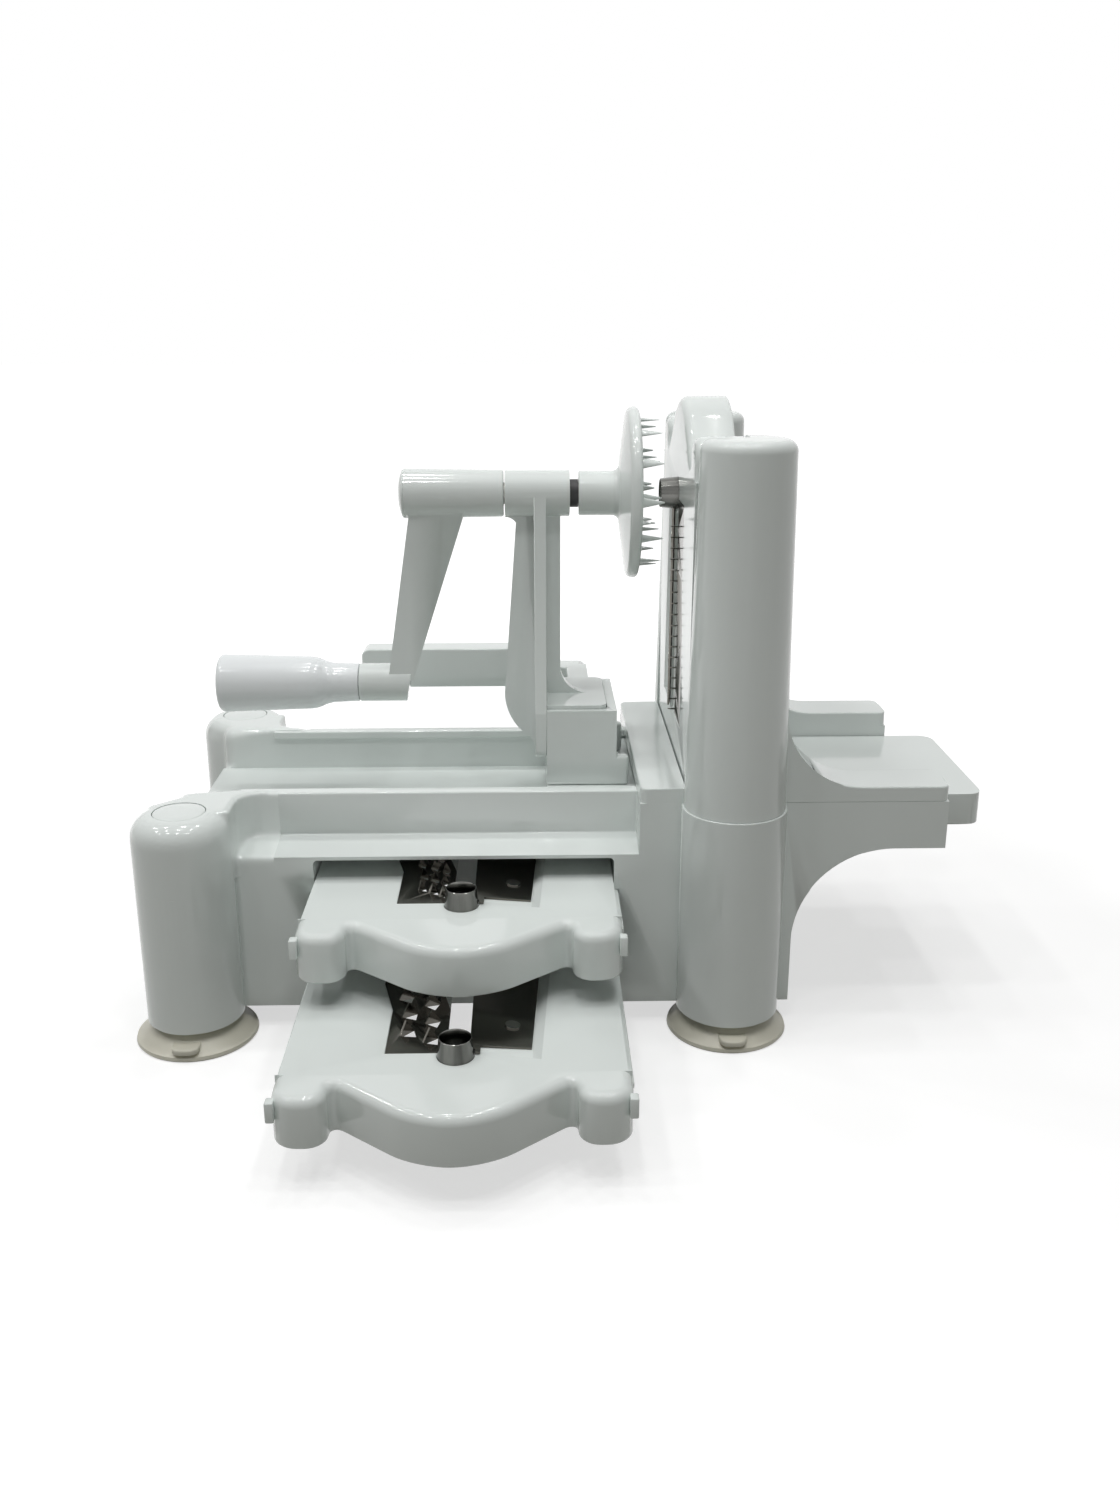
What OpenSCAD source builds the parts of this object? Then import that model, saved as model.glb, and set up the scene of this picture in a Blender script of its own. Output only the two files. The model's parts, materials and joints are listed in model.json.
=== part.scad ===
// Hand-cranked vegetable spiralizer: a carriage with a crank and a prong wheel slides on a track
// towards a blade plate that stands between two columns. Two spare plates slide into the base.
// X runs along the track towards the blade plate, Y away from the drawer side, Z up, table at z = 0.

/* [Base] */
// Width over the side walls
base_w = 118; // [116:0.5:120]
// Thickness of the moulded walls
wall_t = 2.6; // [2.2:0.1:3]
// Height of the lower edge of the walls
base_lift = 9; // [8:0.5:10]
// Thickness of the bars that carry the feet
foot_plate_t = 3; // [2.4:0.2:3.6]
// Height of the top of the track floor
track_z = 74.2; // [73.8:0.1:75]
// Thickness of the track floor
track_t = 3; // [2.6:0.1:3.4]
// Distance from the track walls to the outside of the base
ledge_w = 20.4; // [20:0.2:21]
// Distance from the origin to the left end of the track
track_left = 151; // [148:1:153]
// Height of the seam between base and tower
seam_z = 92; // [91.6:0.1:94]
// How far the ledge beside the track slopes down to its outer edge
ledge_drop = 2.6; // [2:0.1:3]
// Thickness of the rail walls
rail_t = 3.8; // [3.2:0.1:4.4]
// How far the rail tops stay below the seam
rail_step = 0.6; // [0.4:0.1:1]
// How far the guide lips reach inwards
lip_reach = 1.6; // [1.2:0.1:2]
// Height of the guide lips
lip_h = 3.3; // [2.8:0.1:3.5]

/* [Legs] */
// Distance from the left end of the track to the leg axes
leg_in = 6; // [4:0.5:8]
// Distance from the outside of the base to the leg axes
leg_out = 4.1; // [3:0.1:5]
// Radius of the legs
leg_r = 18.3; // [17.6:0.1:19]
// Radius of the rounded leg tops
leg_round = 8.4; // [7:0.2:8.6]
// Radius of the concave corner between leg neck and rail
neck_fillet_r = 10; // [7:0.5:12]
// Radius of the caps in the leg tops
cap_r = 9.7; // [9:0.1:9.8]
// Thickness of the caps' discs
cap_t = 2; // [1.6:0.1:2.4]

/* [Suction feet] */
// Radius of the suction cups
foot_r = 23.2; // [22:0.2:24]
// Radius of the studs on the feet
stud_r = 4; // [3.6:0.1:4.4]
// Wall of the suction cups
cup_t = 2.4; // [2:0.1:2.8]
// Width of the pull tabs
pull_tab_w = 10.4; // [9:0.2:12]

/* [Tower] */
// Distance from the origin to the column axes
column_x = 61.7; // [61:0.1:62.4]
// Distance from the outside of the base to the column axes
column_out = 2.5; // [2:0.1:3]
// Radius of the columns below the seam
column_low_r = 19.7; // [19.4:0.1:20]
// Radius of the columns just above the seam
column_r = 19; // [18.8:0.1:19.3]
// Radius of the columns at the top
column_top_r = 16.9; // [16.6:0.1:17.4]
// Height of the column tops
column_top_z = 227; // [226.6:0.2:230]
// Radius of the rounding on the column tops
column_round = 4.4; // [3:0.2:5]
// Radius of the hollow core in the columns
core_r = 8.6; // [7:0.2:9]
// Thickness of the deck and of the bar tops
deck_t = 6; // [5.6:0.1:6.6]
// Distance from the origin to the left edge of the deck
deck_left = 26.6; // [25.6:0.1:27]
// Distance from the origin to the right end of the base walls
deck_right = 86.4; // [85:0.2:88]
// Distance from the origin to the ends of the bars
bar_end = 143.7; // [140:0.5:147]
// Radius of the rounded bar and deck corners
bar_corner_r = 3; // [2:0.2:4]
// Radius of the concave gussets between columns and bars
gusset_r = 30; // [26:1:34]
// Height of the bracket arms below the seam
bracket_h = 19; // [18:0.5:20]
// Radius of the concave sweep under the bracket arms
bracket_r = 38; // [34:1:42]

/* [Sled] */
// Thickness of the sled
sled_t = 12.7; // [12.2:0.1:13]
// Distance from the origin to the right end of the sled
sled_right = 163.8; // [160:0.5:166]
// Gap between sled and track on every side
sled_gap = 0.4; // [0.3:0.05:0.5]
// Wall of the hollow sled
sled_wall = 2.4; // [2:0.1:2.8]
// Radius of the outer corners of the sled
sled_corner_r = 6; // [4:0.5:8]

/* [Carriage] */
// Distance from the origin to the left face of the housing
housing_left = 8; // [7:0.2:9]
// Distance from the origin to the right face of the housing
housing_right = 19.7; // [19:0.1:20.4]
// Width of the housing across the track
housing_w = 49; // [46:0.5:52]
// Height of the top edge of the housing
housing_top_z = 118.3; // [116:0.5:120]
// Wall of the housing
housing_wall = 2.6; // [2.2:0.1:3]
// Thickness of the right wall of the housing
housing_end_wall = 3.6; // [3:0.1:4]
// How far the post's foot plate stands above the housing
lid_rise = 1.5; // [1:0.1:2]
// Thickness of the post's foot plate
lid_t = 2.6; // [2.2:0.1:3]
// Gap round the post's foot plate
lid_gap = 0.3; // [0.2:0.05:0.5]
// Length of the stop lugs
stop_l = 5; // [4.6:0.1:5.6]
// Width of the stop lugs
stop_w = 4.5; // [3.5:0.1:5.5]
// Height of the stop lugs
stop_h = 12.3; // [11:0.1:13]
// Thickness of the post's cross rib
rib_t = 4.6; // [4:0.1:5]
// How far the cross rib hangs below the housing's top
rib_drop = 19.5; // [17:0.5:21]
// Thickness of the post's web
web_t = 5; // [4:0.2:6]
// Distance from the origin to the left edge of the web's heel
heel_left = 24.8; // [24.4:0.1:25.4]
// Radius of the rounded heel of the web
heel_r = 22.5; // [20:0.5:24]
// Radius of the fillets at the web's foot
web_foot_r = 11; // [8:0.5:13]
// Radius of the fillets at the web's head
web_head_r = 5; // [3:0.2:6]

/* [Pusher] */
// Distance from the middle plane to the near face of the pusher bar
pusher_y = 46; // [45.8:0.1:48]
// Thickness of the pusher bar
pusher_t = 12; // [10:0.5:13]
// Distance from the origin to the left end of the pusher bar
pusher_left = 88.5; // [84:0.5:92]
// Height of the pusher bar's grip part
pusher_h = 17.3; // [15:0.1:18]
// Height of the pusher bar's neck
pusher_neck_h = 8.8; // [7:0.1:10]
// Length of the neck past the grip part
pusher_neck_l = 35; // [30:0.5:40]
// Radius of the pusher bar's edges
pusher_round = 3.4; // [2:0.1:4]
// How far the pusher's lug stays below the post's foot plate
lug_drop = 2; // [1:0.1:3]
// Width of the lug that joins the pusher bar to the housing
pusher_lug_w = 9; // [7:0.2:11]

/* [Crank] */
// Height of the crank axis
axis_z = 200.3; // [200:0.1:200.6]
// Radius of the post's bearing barrel
barrel_r = 8.9; // [8.6:0.1:9.4]
// Length of the bearing barrel
barrel_l = 25.2; // [24:0.2:27]
// Distance from the origin to the left end of the bearing barrel
barrel_left = 23.8; // [23.6:0.1:24]
// Radius of the axle
axle_r = 4.2; // [4:0.1:4.6]
// Outer radius of the bushing
bushing_r = 6; // [5.6:0.1:6.6]
// Radial clearance of the running and sliding fits
fit_gap = 0.06; // [0.05:0.01:0.08]
// Axial gap between turning and standing pieces
end_gap = 0.5; // [0.3:0.05:0.6]
// Length of the crank's barrel
crank_barrel_l = 38.7; // [37:0.1:40]
// Radius of the crank's barrel at the post
crank_barrel_r = 9.05; // [8.8:0.05:9.4]
// Radius of the crank's barrel at its outer end
crank_barrel_end_r = 9.6; // [9.2:0.05:10]
// Height of the domed crank cap
crank_cap_h = 2.4; // [1.8:0.1:3]
// Depth of the nut recess in the crank's barrel
nut_recess_l = 5.2; // [4.6:0.1:6]
// Distance from the crank axis to the grip axis
crank_throw = 76.2; // [74:0.1:76.4]
// Thickness of the crank's arm
arm_t = 12; // [10:0.2:13]
// Width of the arm at the barrel
arm_w_top = 21.2; // [19:0.2:23]
// Width of the arm at the boss
arm_w_low = 10; // [9:0.2:12]
// How far the arm leans outwards on its way down
arm_lean = 10.3; // [9:0.1:12]
// Radius of the boss
boss_r = 7.7; // [7.3:0.1:7.8]
// Length of the boss along its underside
boss_l = 19; // [17:0.2:21]
// How far the slanted end of the boss reaches at its top
boss_slant = 3; // [2:0.1:5]

/* [Grip] */
// Radius of the grip's outer end
grip_r = 11.8; // [11:0.1:12]
// Radius of the grip's thick part at its inner end
grip_waist_r = 10.6; // [10:0.1:11]
// Radius of the grip's neck where it meets the thick part
neck_r = 8.2; // [7.9:0.1:8.8]
// Radius of the grip's neck at the boss
neck_end_r = 7.65; // [7.4:0.05:7.8]
// Length of the grip
grip_l = 56.5; // [54:0.5:60]
// Length of the neck
neck_l = 12.5; // [11:0.5:14]
// Length of the step between neck and thick part
neck_step_l = 4.5; // [3:0.5:6]
// Radius of the grip pin
grip_pin_r = 3; // [2.8:0.1:3.4]
// Depth of the pin's seat in the boss
pin_seat_l = 12; // [10:0.5:13]

/* [Prong wheel] */
// Radius of the wheel
wheel_r = 33.3; // [32:0.1:34]
// Distance from the origin to the wheel's front face
wheel_face = 28; // [27.6:0.1:28.2]
// Radius of the wheel's hub
hub_r = 8.6; // [8.2:0.1:9]
// Thickness of the wheel's rim
rim_t = 4.4; // [3.6:0.1:5]
// Thickness of the disc at the hub
disc_root_t = 8.4; // [7.6:0.1:9]
// Length of the prongs
prong_l = 8.2; // [7:0.1:8.4]
// Width of the prongs at the root
prong_w = 4; // [3:0.1:4.6]
// Thickness of the prongs
prong_t = 1.5; // [1.2:0.1:2]
// Number of prongs in the outer ring
outer_prongs = 12; // [10:1:14]
// Number of prongs in the inner ring
inner_prongs = 6; // [5:1:7]
// Radius of the outer ring of prongs
outer_ring_r = 28; // [26:0.2:29]
// Radius of the inner ring of prongs
inner_ring_r = 15; // [13:0.2:17]

/* [Blade plates] */
// Width of the plates
plate_w = 113.5; // [112.5:0.1:114]
// Distance from the coring ring to the plate's tail
plate_tail = 105; // [102:0.5:105]
// Depth of the plate's side walls
plate_h = 8; // [7.4:0.1:8.2]
// Thickness of the plate's face
face_t = 2.6; // [2.2:0.1:3]
// Wall of the plate's skirt and handle
skirt_t = 2.4; // [2:0.1:2.8]
// Reach of the side flanges
flange_reach = 2.1; // [1.8:0.1:2.3]
// Thickness of the side flanges
flange_t = 2; // [1.8:0.1:2.2]
// Depth of the side flanges below the face
flange_depth = 5; // [4.6:0.1:5.2]
// Thickness of the handle
handle_t = 18; // [17:0.1:18.2]
// Distance from the coring ring to the handle's inner side
handle_back = 10.5; // [10:0.1:11]
// Distance from the coring ring to the crest of the handle
crest_l = 37; // [35:0.2:38]
// Distance from the coring ring to the notches beside the crest
notch_l = 15; // [14.5:0.2:16]
// Half width of the crest between its notches
crest_half_w = 39; // [38:0.2:39.6]
// Distance from the coring ring to the ends of the lobes
lobe_l = 26; // [25:0.2:26.2]
// Radius of the lobe ends
lobe_r = 8.9; // [8.4:0.1:9]
// How far the lobes stand out beside the plate
lobe_out = 1.25; // [0.9:0.05:1.3]
// Reach of the side tabs beside the plate
tab_reach = 2.6; // [2.2:0.1:2.8]
// Length of the side tabs along the plate
tab_l = 4; // [3:0.2:5]
// Height of the side tabs
tab_h = 7.3; // [6.5:0.1:8]
// Depth of the side tabs below the face
tab_depth = 2; // [1.6:0.1:2.4]

/* [Steel] */
// Radius of the coring ring at its root
ring_r = 6.2; // [6:0.1:6.4]
// Radius of the coring ring at its edge
ring_edge_r = 5.6; // [5.4:0.1:6]
// Wall of the coring ring
ring_t = 0.6; // [0.5:0.05:0.8]
// How far the coring ring stands above the face
ring_h = 7; // [6:0.1:7.2]
// Thickness of the steel sheets
sheet_t = 0.8; // [0.7:0.05:1]
// Length of the steel sheets
sheet_l = 86; // [84:0.5:88]
// Distance from the ring's middle to the front edge of the sheets
sheet_front = 2; // [1.6:0.1:2.4]
// Distance from the ring's middle to the toothed sheet's outer edge
toothed_w = 23.6; // [22.6:0.2:24.4]
// How far the toothed sheet bends outwards on its way to the tail
toothed_flare = 4.6; // [4:0.2:6]
// Distance from the ring's middle to the toothed sheet's inner edge
toothed_edge = 3.2; // [2.8:0.1:3.6]
// Distance from the ring's middle to the cutting edge
cut_edge = 4.5; // [4.2:0.1:5]
// Distance from the ring's middle to the flat blade's front edge
blade_front = 4.3; // [4.2:0.1:5]
// How far the flat blade's front edge slants back on the right
blade_slant = 2.4; // [1.6:0.1:3]
// Width of the short arm between blade and ring
arm_reach = 3.6; // [3:0.1:4.4]
// Distance from the ring's middle to the front of the blade's seat
seat_front = 0.3; // [0:0.1:0.6]
// Lean of the seat's outer walls in degrees
seat_lean = 48; // [35:1:55]
// Width of the flat blade at its front
blade_w = 21; // [19:0.2:22]
// How much wider the flat blade is at its tail
blade_flare = 4.5; // [3:0.1:5]
// Tilt of the flat blade in degrees
blade_tilt = 8; // [6:0.5:9]
// How far the cutting edge stands above the face
cut_rise = 0.7; // [0.4:0.1:1]
// Radius of the rivet heads
rivet_r = 2.7; // [2.4:0.1:3.2]

/* [Plate positions] */
// Height of the upper stored plate's face
upper_plate_z = 62; // [61.6:0.1:62.4]
// Height of the lower stored plate's face
lower_plate_z = 33.5; // [33:0.1:34.5]
// Distance from the middle plane to the upper plate's coring ring
upper_plate_out = 82.5; // [60:0.5:110]
// Distance from the middle plane to the lower plate's coring ring
lower_plate_out = 139.5; // [80:0.5:145]
// Distance from the origin to the middle of the stored plates
bay_x = 40.2; // [39:0.1:41]
// Distance from the origin to the standing plate's face
standing_face = 44; // [43.6:0.1:44.2]
// Gap between a plate and the walls it slides between
plate_gap = 0.45; // [0.3:0.05:0.6]
// Height of the sill below the drawer opening
sill_h = 4; // [3:0.5:5]
// Thickness of the runner walls
runner_t = 4; // [3.4:0.1:4.6]

/* [Hidden] */

// Facets of round pieces
$fn = 96;
// Overrun of every cut past the face it opens
cut = 1;
// Flat faces that meet stay this far apart
touch = 0.02;

// Colours
body_white = [0.86, 0.88, 0.86];
grip_white = [0.90, 0.91, 0.90];
foot_beige = [0.78, 0.75, 0.68];
steel = [0.62, 0.62, 0.60];
dark_steel = [0.35, 0.35, 0.34];

// Heights and half widths of the base
base_y = base_w / 2;
track_y = base_y - ledge_w;
column_y = base_y + column_out;
rail_y = track_y + rail_t;
rail_top_z = seam_z - rail_step;
roof_z = track_z - track_t;
inner_y = base_y - wall_t;
deck_z = seam_z + deck_t;
block_roof_z = seam_z - wall_t;

// The leg necks reach from the legs to the track walls
neck_corner_r = leg_r / 3;
leg_x = track_left - leg_in;
leg_y = base_y + leg_out;
neck_right = leg_x - leg_r;

// Screws: one size holds the tower, the carriage and the prong wheel
screw_r = 1.9;
screw_head_r = 3.8;
screw_head_h = 2.4;
screw_hole_r = screw_r + fit_gap;
tower_screw_x = [deck_left + 2 * screw_head_r, deck_right - 2.5 * screw_head_r];
tower_screw_y = track_y + 3 * screw_head_r;

// Sled and housing
sled_z = track_z + sled_gap;
sled_top_z = sled_z + sled_t;
sled_y = track_y - sled_gap;
housing_y = housing_w / 2;
lid_top_z = housing_top_z + lid_rise;
lid_z = lid_top_z - lid_t;
lid_y = housing_y - housing_wall - lid_gap;
lid_right = housing_right - housing_end_wall - lid_gap;
lid_corner_r = 1.4 * housing_wall;
rib_left = housing_left + rib_t;
carriage_screw_y = housing_y / 2;
carriage_screw_x = (housing_right - housing_left) / 2;
pillar_r = screw_head_r + wall_t / 2;
floor_top_z = sled_top_z + housing_wall;
lug_z = lid_top_z - lug_drop - pusher_neck_h;
lug_right = lid_right - housing_wall * 2;

// Crank line, from the grip to the prong wheel
barrel_right = barrel_l - barrel_left;
crank_right = barrel_left + end_gap;
crank_left = crank_right + crank_barrel_l;
nut_seat = crank_left - nut_recess_l;
nut_recess_r = crank_barrel_end_r - wall_t / 1.3;
nut_h = nut_recess_l / 2;
nut_r = nut_recess_r - 3 * end_gap;
axle_thread_r = axle_r * 0.7;
axle_right = wheel_face - 1.7 * screw_head_h;
washer_t = 3.2;
washer_gap = 0.15;
washer_r = 5.4;
hub_left = barrel_right + washer_t + 2 * washer_gap;
wheel_screw_seat = wheel_face - 1.1 * screw_head_h;

// Crank arm and grip
grip_z = axis_z - crank_throw;
arm_top_left = crank_left - crank_barrel_r / 6;
arm_low_left = arm_top_left + arm_lean;
boss_left = arm_low_left + arm_w_low + end_gap * 4;
boss_right = boss_left - boss_l;
grip_right = boss_left + end_gap;
grip_left = grip_right + grip_l;
grip_bore_r = grip_pin_r + fit_gap;
grip_end_round = 3;
plug_r = grip_r * 0.6;
plug_t = 2.2;
pin_head_r = plug_r * 0.7;
pin_head_t = 2;
pin_head_x = grip_left - plug_t - pin_head_t - 3 * end_gap;

// Blade plates
plate_y = plate_w / 2;
flange_y = plate_y + flange_reach;
tab_y = plate_y + tab_reach;
lobe_y = plate_y + lobe_out;
tab_step = 1.5;
tab_front = lobe_l - tab_step;
crest_steps = 36;
crest_power = 1.3;
toothed_recess = 1;
sheet_gap = 0.1;
flare_start_share = 0.34;
flare_end_share = 0.57;
ring_root = 3;
ring_boss_r = ring_r + skirt_t;
ring_hole_r = ring_r + fit_gap;
throat_front = ring_r + sheet_front;
throat_back = sheet_front + sheet_l + wall_t / 2;
blade_pad_t = 6.4;
blade_bevel = 2.4;
rivet_w_share = 0.68;
rivet_l_shares = [0.21, 0.8];
rivet_head_h = 0.5;
rivet_shank_r = rivet_r / 2;
rivet_l = 3;

// Teeth of the three steel sheets: width, height, pitch and columns
comb_tooth_w = 1.6;
comb_tooth_h = 3;
comb_pitch = 4.3;
comb_column = 5;
upper_tooth_w = 3.6;
upper_tooth_h = 3.6;
upper_pitch = 11.4;
upper_columns = [7, 11, 15.5];
lower_tooth_w = 6.4;
lower_tooth_h = 4.6;
lower_pitch = 12.4;
lower_columns = [9, 17.4];

// Where the plates slide: the bay under the track and the slots in the columns
bay_y = plate_y + plate_gap;
groove_y = flange_y + plate_gap;
opening_top_z = roof_z - track_t / 3;
opening_low_z = base_lift + sill_h;
slot_back = standing_face + plate_h + plate_gap;
slot_low_z = axis_z - plate_tail - plate_gap;
handle_slot_back = standing_face + handle_t + plate_gap;
handle_slot_z = axis_z + handle_back - plate_gap;
tab_pocket_z = axis_z + tab_front - tab_l - touch;
core_x = column_x + core_r / 2;
core_y = column_y + core_r / 3;
core_top_z = handle_slot_z - 2 * wall_t;

// Rounded rectangle from its two corners, all corners alike
module rounded_rect(low, high, r) {
    translate([low[0] + r, low[1]]) square([high[0] - low[0] - 2 * r, high[1] - low[1]]);
    translate([low[0], low[1] + r]) square([high[0] - low[0], high[1] - low[1] - 2 * r]);
    for (x = [low[0] + r, high[0] - r], y = [low[1] + r, high[1] - r])
        translate([x, y]) circle(r);
}

// Block from its two opposite corners
module block(low, high) {
    translate(low) cube(high - low);
}

// The same piece on both sides of the middle plane
module both_sides() {
    children();
    mirror([0, 1, 0]) children();
}

// An outline drawn in X and Z, given a thickness from y_low to y_high
module along_y(y_low, y_high) {
    translate([0, y_high, 0]) rotate([90, 0, 0]) linear_extrude(y_high - y_low) children();
}

// An outline drawn in Y and Z, drawn out from x_low to x_high
module along_x(x_low, x_high) {
    translate([x_low, 0, 0]) rotate([90, 0, 90]) linear_extrude(x_high - x_low) children();
}

// A cylinder on the crank's axis line or the grip's, from x_low to x_high
module rod(x_low, x_high, z, r, r_high = undef) {
    translate([x_low, 0, z]) rotate([0, 90, 0])
        cylinder(h = x_high - x_low, r1 = r, r2 = is_undef(r_high) ? r : r_high);
}

module quarter_disc(r) {
    intersection() {
        circle(r);
        square(r);
    }
}

// Half outline of a post with a rounded top edge
module round_top(r_low, r_high, h, round_r) {
    polygon([[0, 0], [r_low, 0], [r_high, h - round_r], [0, h - round_r]]);
    square([r_high - round_r, h]);
    translate([r_high - round_r, h - round_r]) quarter_disc(round_r);
}

// Base

module leg_outside() {
    translate([-leg_x, leg_y, base_lift])
        rotate_extrude() round_top(leg_r, leg_r, seam_z - base_lift, leg_round);
    // Neck from the leg to the track wall
    translate([0, 0, track_z - ledge_drop]) linear_extrude(seam_z - track_z + ledge_drop) {
        polygon([
            [-leg_x - leg_r * cos(30), leg_y - leg_r * sin(30)],
            [-track_left, track_y + neck_corner_r],
            [-track_left + neck_corner_r, track_y],
            [-neck_right, track_y],
            [-neck_right, leg_y],
            [-leg_x, leg_y]
        ]);
        translate([-track_left + neck_corner_r, track_y + neck_corner_r]) circle(neck_corner_r);
        // Concave corner between neck and rail
        difference() {
            translate([-neck_right - cut, rail_y - cut])
                square([neck_fillet_r + cut, neck_fillet_r + cut]);
            translate([neck_fillet_r - neck_right, rail_y + neck_fillet_r]) circle(neck_fillet_r);
        }
    }
}

module walls_outside() {
    along_x(-track_left, deck_right) polygon([
        [-base_y, base_lift], [base_y, base_lift],
        [base_y, track_z - ledge_drop], [rail_y, track_z],
        [-rail_y, track_z], [-base_y, track_z - ledge_drop]
    ]);
}

module rail() {
    along_x(-neck_right - cut, deck_left + cut) {
        translate([track_y, roof_z]) square([rail_t, rail_top_z - roof_z]);
        translate([track_y - lip_reach, rail_top_z - lip_h]) square([lip_reach + cut, lip_h]);
    }
}

module deck_support() {
    block([deck_left, track_y, roof_z], [deck_right, base_y, seam_z]);
    translate([column_x, column_y, base_lift]) cylinder(h = seam_z - base_lift, r = column_low_r);
}

module bracket_outline() {
    difference() {
        translate([deck_right - wall_t, seam_z - bracket_h - bracket_r])
            square([bar_end - deck_right + wall_t, bracket_h + bracket_r]);
        translate([deck_right + bracket_r, seam_z - bracket_h - bracket_r]) circle(bracket_r);
        translate([deck_right + bracket_r, seam_z - bracket_h - bracket_r - cut])
            square([bar_end - deck_right, bracket_r + cut]);
    }
}

module bracket() {
    along_y(track_y, base_y) bracket_outline();
}

module base_outside() {
    walls_outside();
    both_sides() {
        leg_outside();
        rail();
        deck_support();
        bracket();
    }
    block([deck_right - wall_t, -track_y - cut, roof_z], [bar_end, track_y + cut, track_z]);
}

module plate_grooves() {
    for (z = [upper_plate_z, lower_plate_z])
        block([-bay_x - groove_y, -base_y - cut, z - flange_depth - flange_t - plate_gap / 2],
              [-bay_x + groove_y, inner_y, z - flange_depth + plate_gap / 2]);
}

module plate_bay() {
    along_y(-base_y - cut, inner_y)
        rounded_rect([-bay_x - bay_y, opening_low_z], [-bay_x + bay_y, opening_top_z], plate_gap * 4);
    block([-bay_x - bay_y, -inner_y, base_lift - cut], [-bay_x + bay_y, inner_y, roof_z]);
    plate_grooves();
}

module base_hollows() {
    // Left and right of the bay, open below
    block([wall_t - track_left, -inner_y, base_lift - cut],
          [-bay_x - bay_y - runner_t, inner_y, roof_z]);
    block([runner_t - bay_x + bay_y, -inner_y, base_lift - cut],
          [deck_right - wall_t, inner_y, roof_z]);
    plate_bay();
    both_sides() {
        // Leg, leg neck, deck support and column
        translate([-leg_x, leg_y, base_lift - cut])
            cylinder(h = seam_z - leg_round - base_lift, r = leg_r - wall_t);
        block([wall_t - track_left, rail_y, roof_z - cut],
              [-neck_right - wall_t, inner_y, seam_z - wall_t - cut]);
        block([deck_left + wall_t, rail_y, roof_z - cut],
              [deck_right - wall_t, inner_y, block_roof_z]);
        translate([column_x, column_y, base_lift - cut])
            cylinder(h = block_roof_z - base_lift + cut, r = column_low_r - wall_t);
        // Bracket arm, open below
        along_y(rail_y, inner_y) difference() {
            translate([deck_right + wall_t, seam_z - bracket_h - bracket_r])
                square([bar_end - deck_right - 2 * wall_t, bracket_h + bracket_r - wall_t]);
            translate([deck_right + bracket_r, seam_z - bracket_h - bracket_r])
                circle(bracket_r - cut);
        }
        // Seats for the cap and the tower screws
        leg_cap_seat();
        for (x = tower_screw_x)
            translate([x, tower_screw_y, block_roof_z - cut])
                cylinder(h = wall_t + 2 * cut, r = screw_hole_r);
    }
}

module leg_cap_seat() {
    translate([-leg_x, leg_y, seam_z - cap_t - touch])
        cylinder(h = cap_t + cut, r = cap_r + fit_gap);
    translate([-leg_x, leg_y, seam_z - leg_round - cut])
        cylinder(h = leg_round + cut, r = cap_r / 2 + fit_gap);
}

module foot_seats() {
    both_sides() {
        foot_bar([-leg_x, leg_y], leg_r);
        foot_bar([column_x, column_y], column_low_r);
    }
}

// Bar across the lower end of a leg, with the hole for the foot's stud
module foot_bar(at, r) {
    translate([at[0], at[1], base_lift]) difference() {
        intersection() {
            cylinder(h = foot_plate_t, r = r - wall_t / 2);
            translate([-1.5 * stud_r, -r, 0]) cube([3 * stud_r, 2 * r, foot_plate_t]);
        }
        translate([0, 0, -cut]) cylinder(h = foot_plate_t + 2 * cut, r = stud_r + fit_gap);
    }
}

module lower_base() {
    color(body_white) {
        difference() {
            base_outside();
            base_hollows();
        }
        foot_seats();
    }
}

module leg_cap(side) {
    color(body_white) translate([-leg_x, side * leg_y, 0]) {
        translate([0, 0, seam_z - cap_t]) cylinder(h = cap_t, r = cap_r);
        translate([0, 0, seam_z - 2.5 * cap_t]) cylinder(h = 2 * cap_t, r = cap_r / 2);
    }
}

// Suction foot: cup, stud through the foot plate and a pull tab towards the drawer side
module suction_foot(at) {
    lip_t = cup_t / 1.6;
    neck_base_r = foot_r / 2;
    color(foot_beige) translate([at[0], at[1], 0]) {
        rotate_extrude() difference() {
            union() {
                polygon([
                    [0, 0], [foot_r, 0], [foot_r, lip_t], [foot_r - cup_t, base_lift / 2.4],
                    [foot_r * 0.74, base_lift * 0.7], [neck_base_r + cup_t, base_lift - touch],
                    [0, base_lift - touch]
                ]);
                square([stud_r, base_lift + foot_plate_t + cup_t]);
                translate([0, base_lift + foot_plate_t + touch])
                    polygon([[0, 0], [stud_r + cup_t / 2, 0], [stud_r - cup_t / 4, cup_t], [0, cup_t]]);
            }
            // Hollow under the cup
            polygon([
                [-cut, -cut], [foot_r - cup_t, -cut], [foot_r - cup_t, 0],
                [neck_base_r, base_lift / 2], [0, base_lift / 2], [-cut, base_lift / 2]
            ]);
        }
        translate([0, -foot_r * 0.7, base_lift * 0.32]) difference() {
            translate([-pull_tab_w / 2, -foot_r * 0.32, 0])
                cube([pull_tab_w, foot_r * 0.32, cup_t]);
            translate([0, 0, -cut]) cylinder(h = cup_t + 2 * cut, r = stud_r / 2);
        }
    }
}

// Tower

module tower_column() {
    translate([column_x, column_y, seam_z]) rotate_extrude()
        round_top(column_r, column_top_r, column_top_z - seam_z, column_round);
}

module gusset() {
    root = column_x + column_r / 2;
    curve_x = column_x + column_r + gusset_r;
    along_y(track_y, base_y) difference() {
        translate([root, deck_z - cut]) square([curve_x - root, gusset_r + cut]);
        translate([curve_x, deck_z + gusset_r]) circle(gusset_r);
    }
}

module tower_outside() {
    translate([0, 0, seam_z]) linear_extrude(deck_t) {
        rounded_rect([deck_left, -base_y], [deck_right, base_y], bar_corner_r);
        both_sides()
            rounded_rect([column_x, track_y], [bar_end, base_y], bar_corner_r);
    }
    both_sides() {
        tower_column();
        gusset();
    }
}

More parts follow.
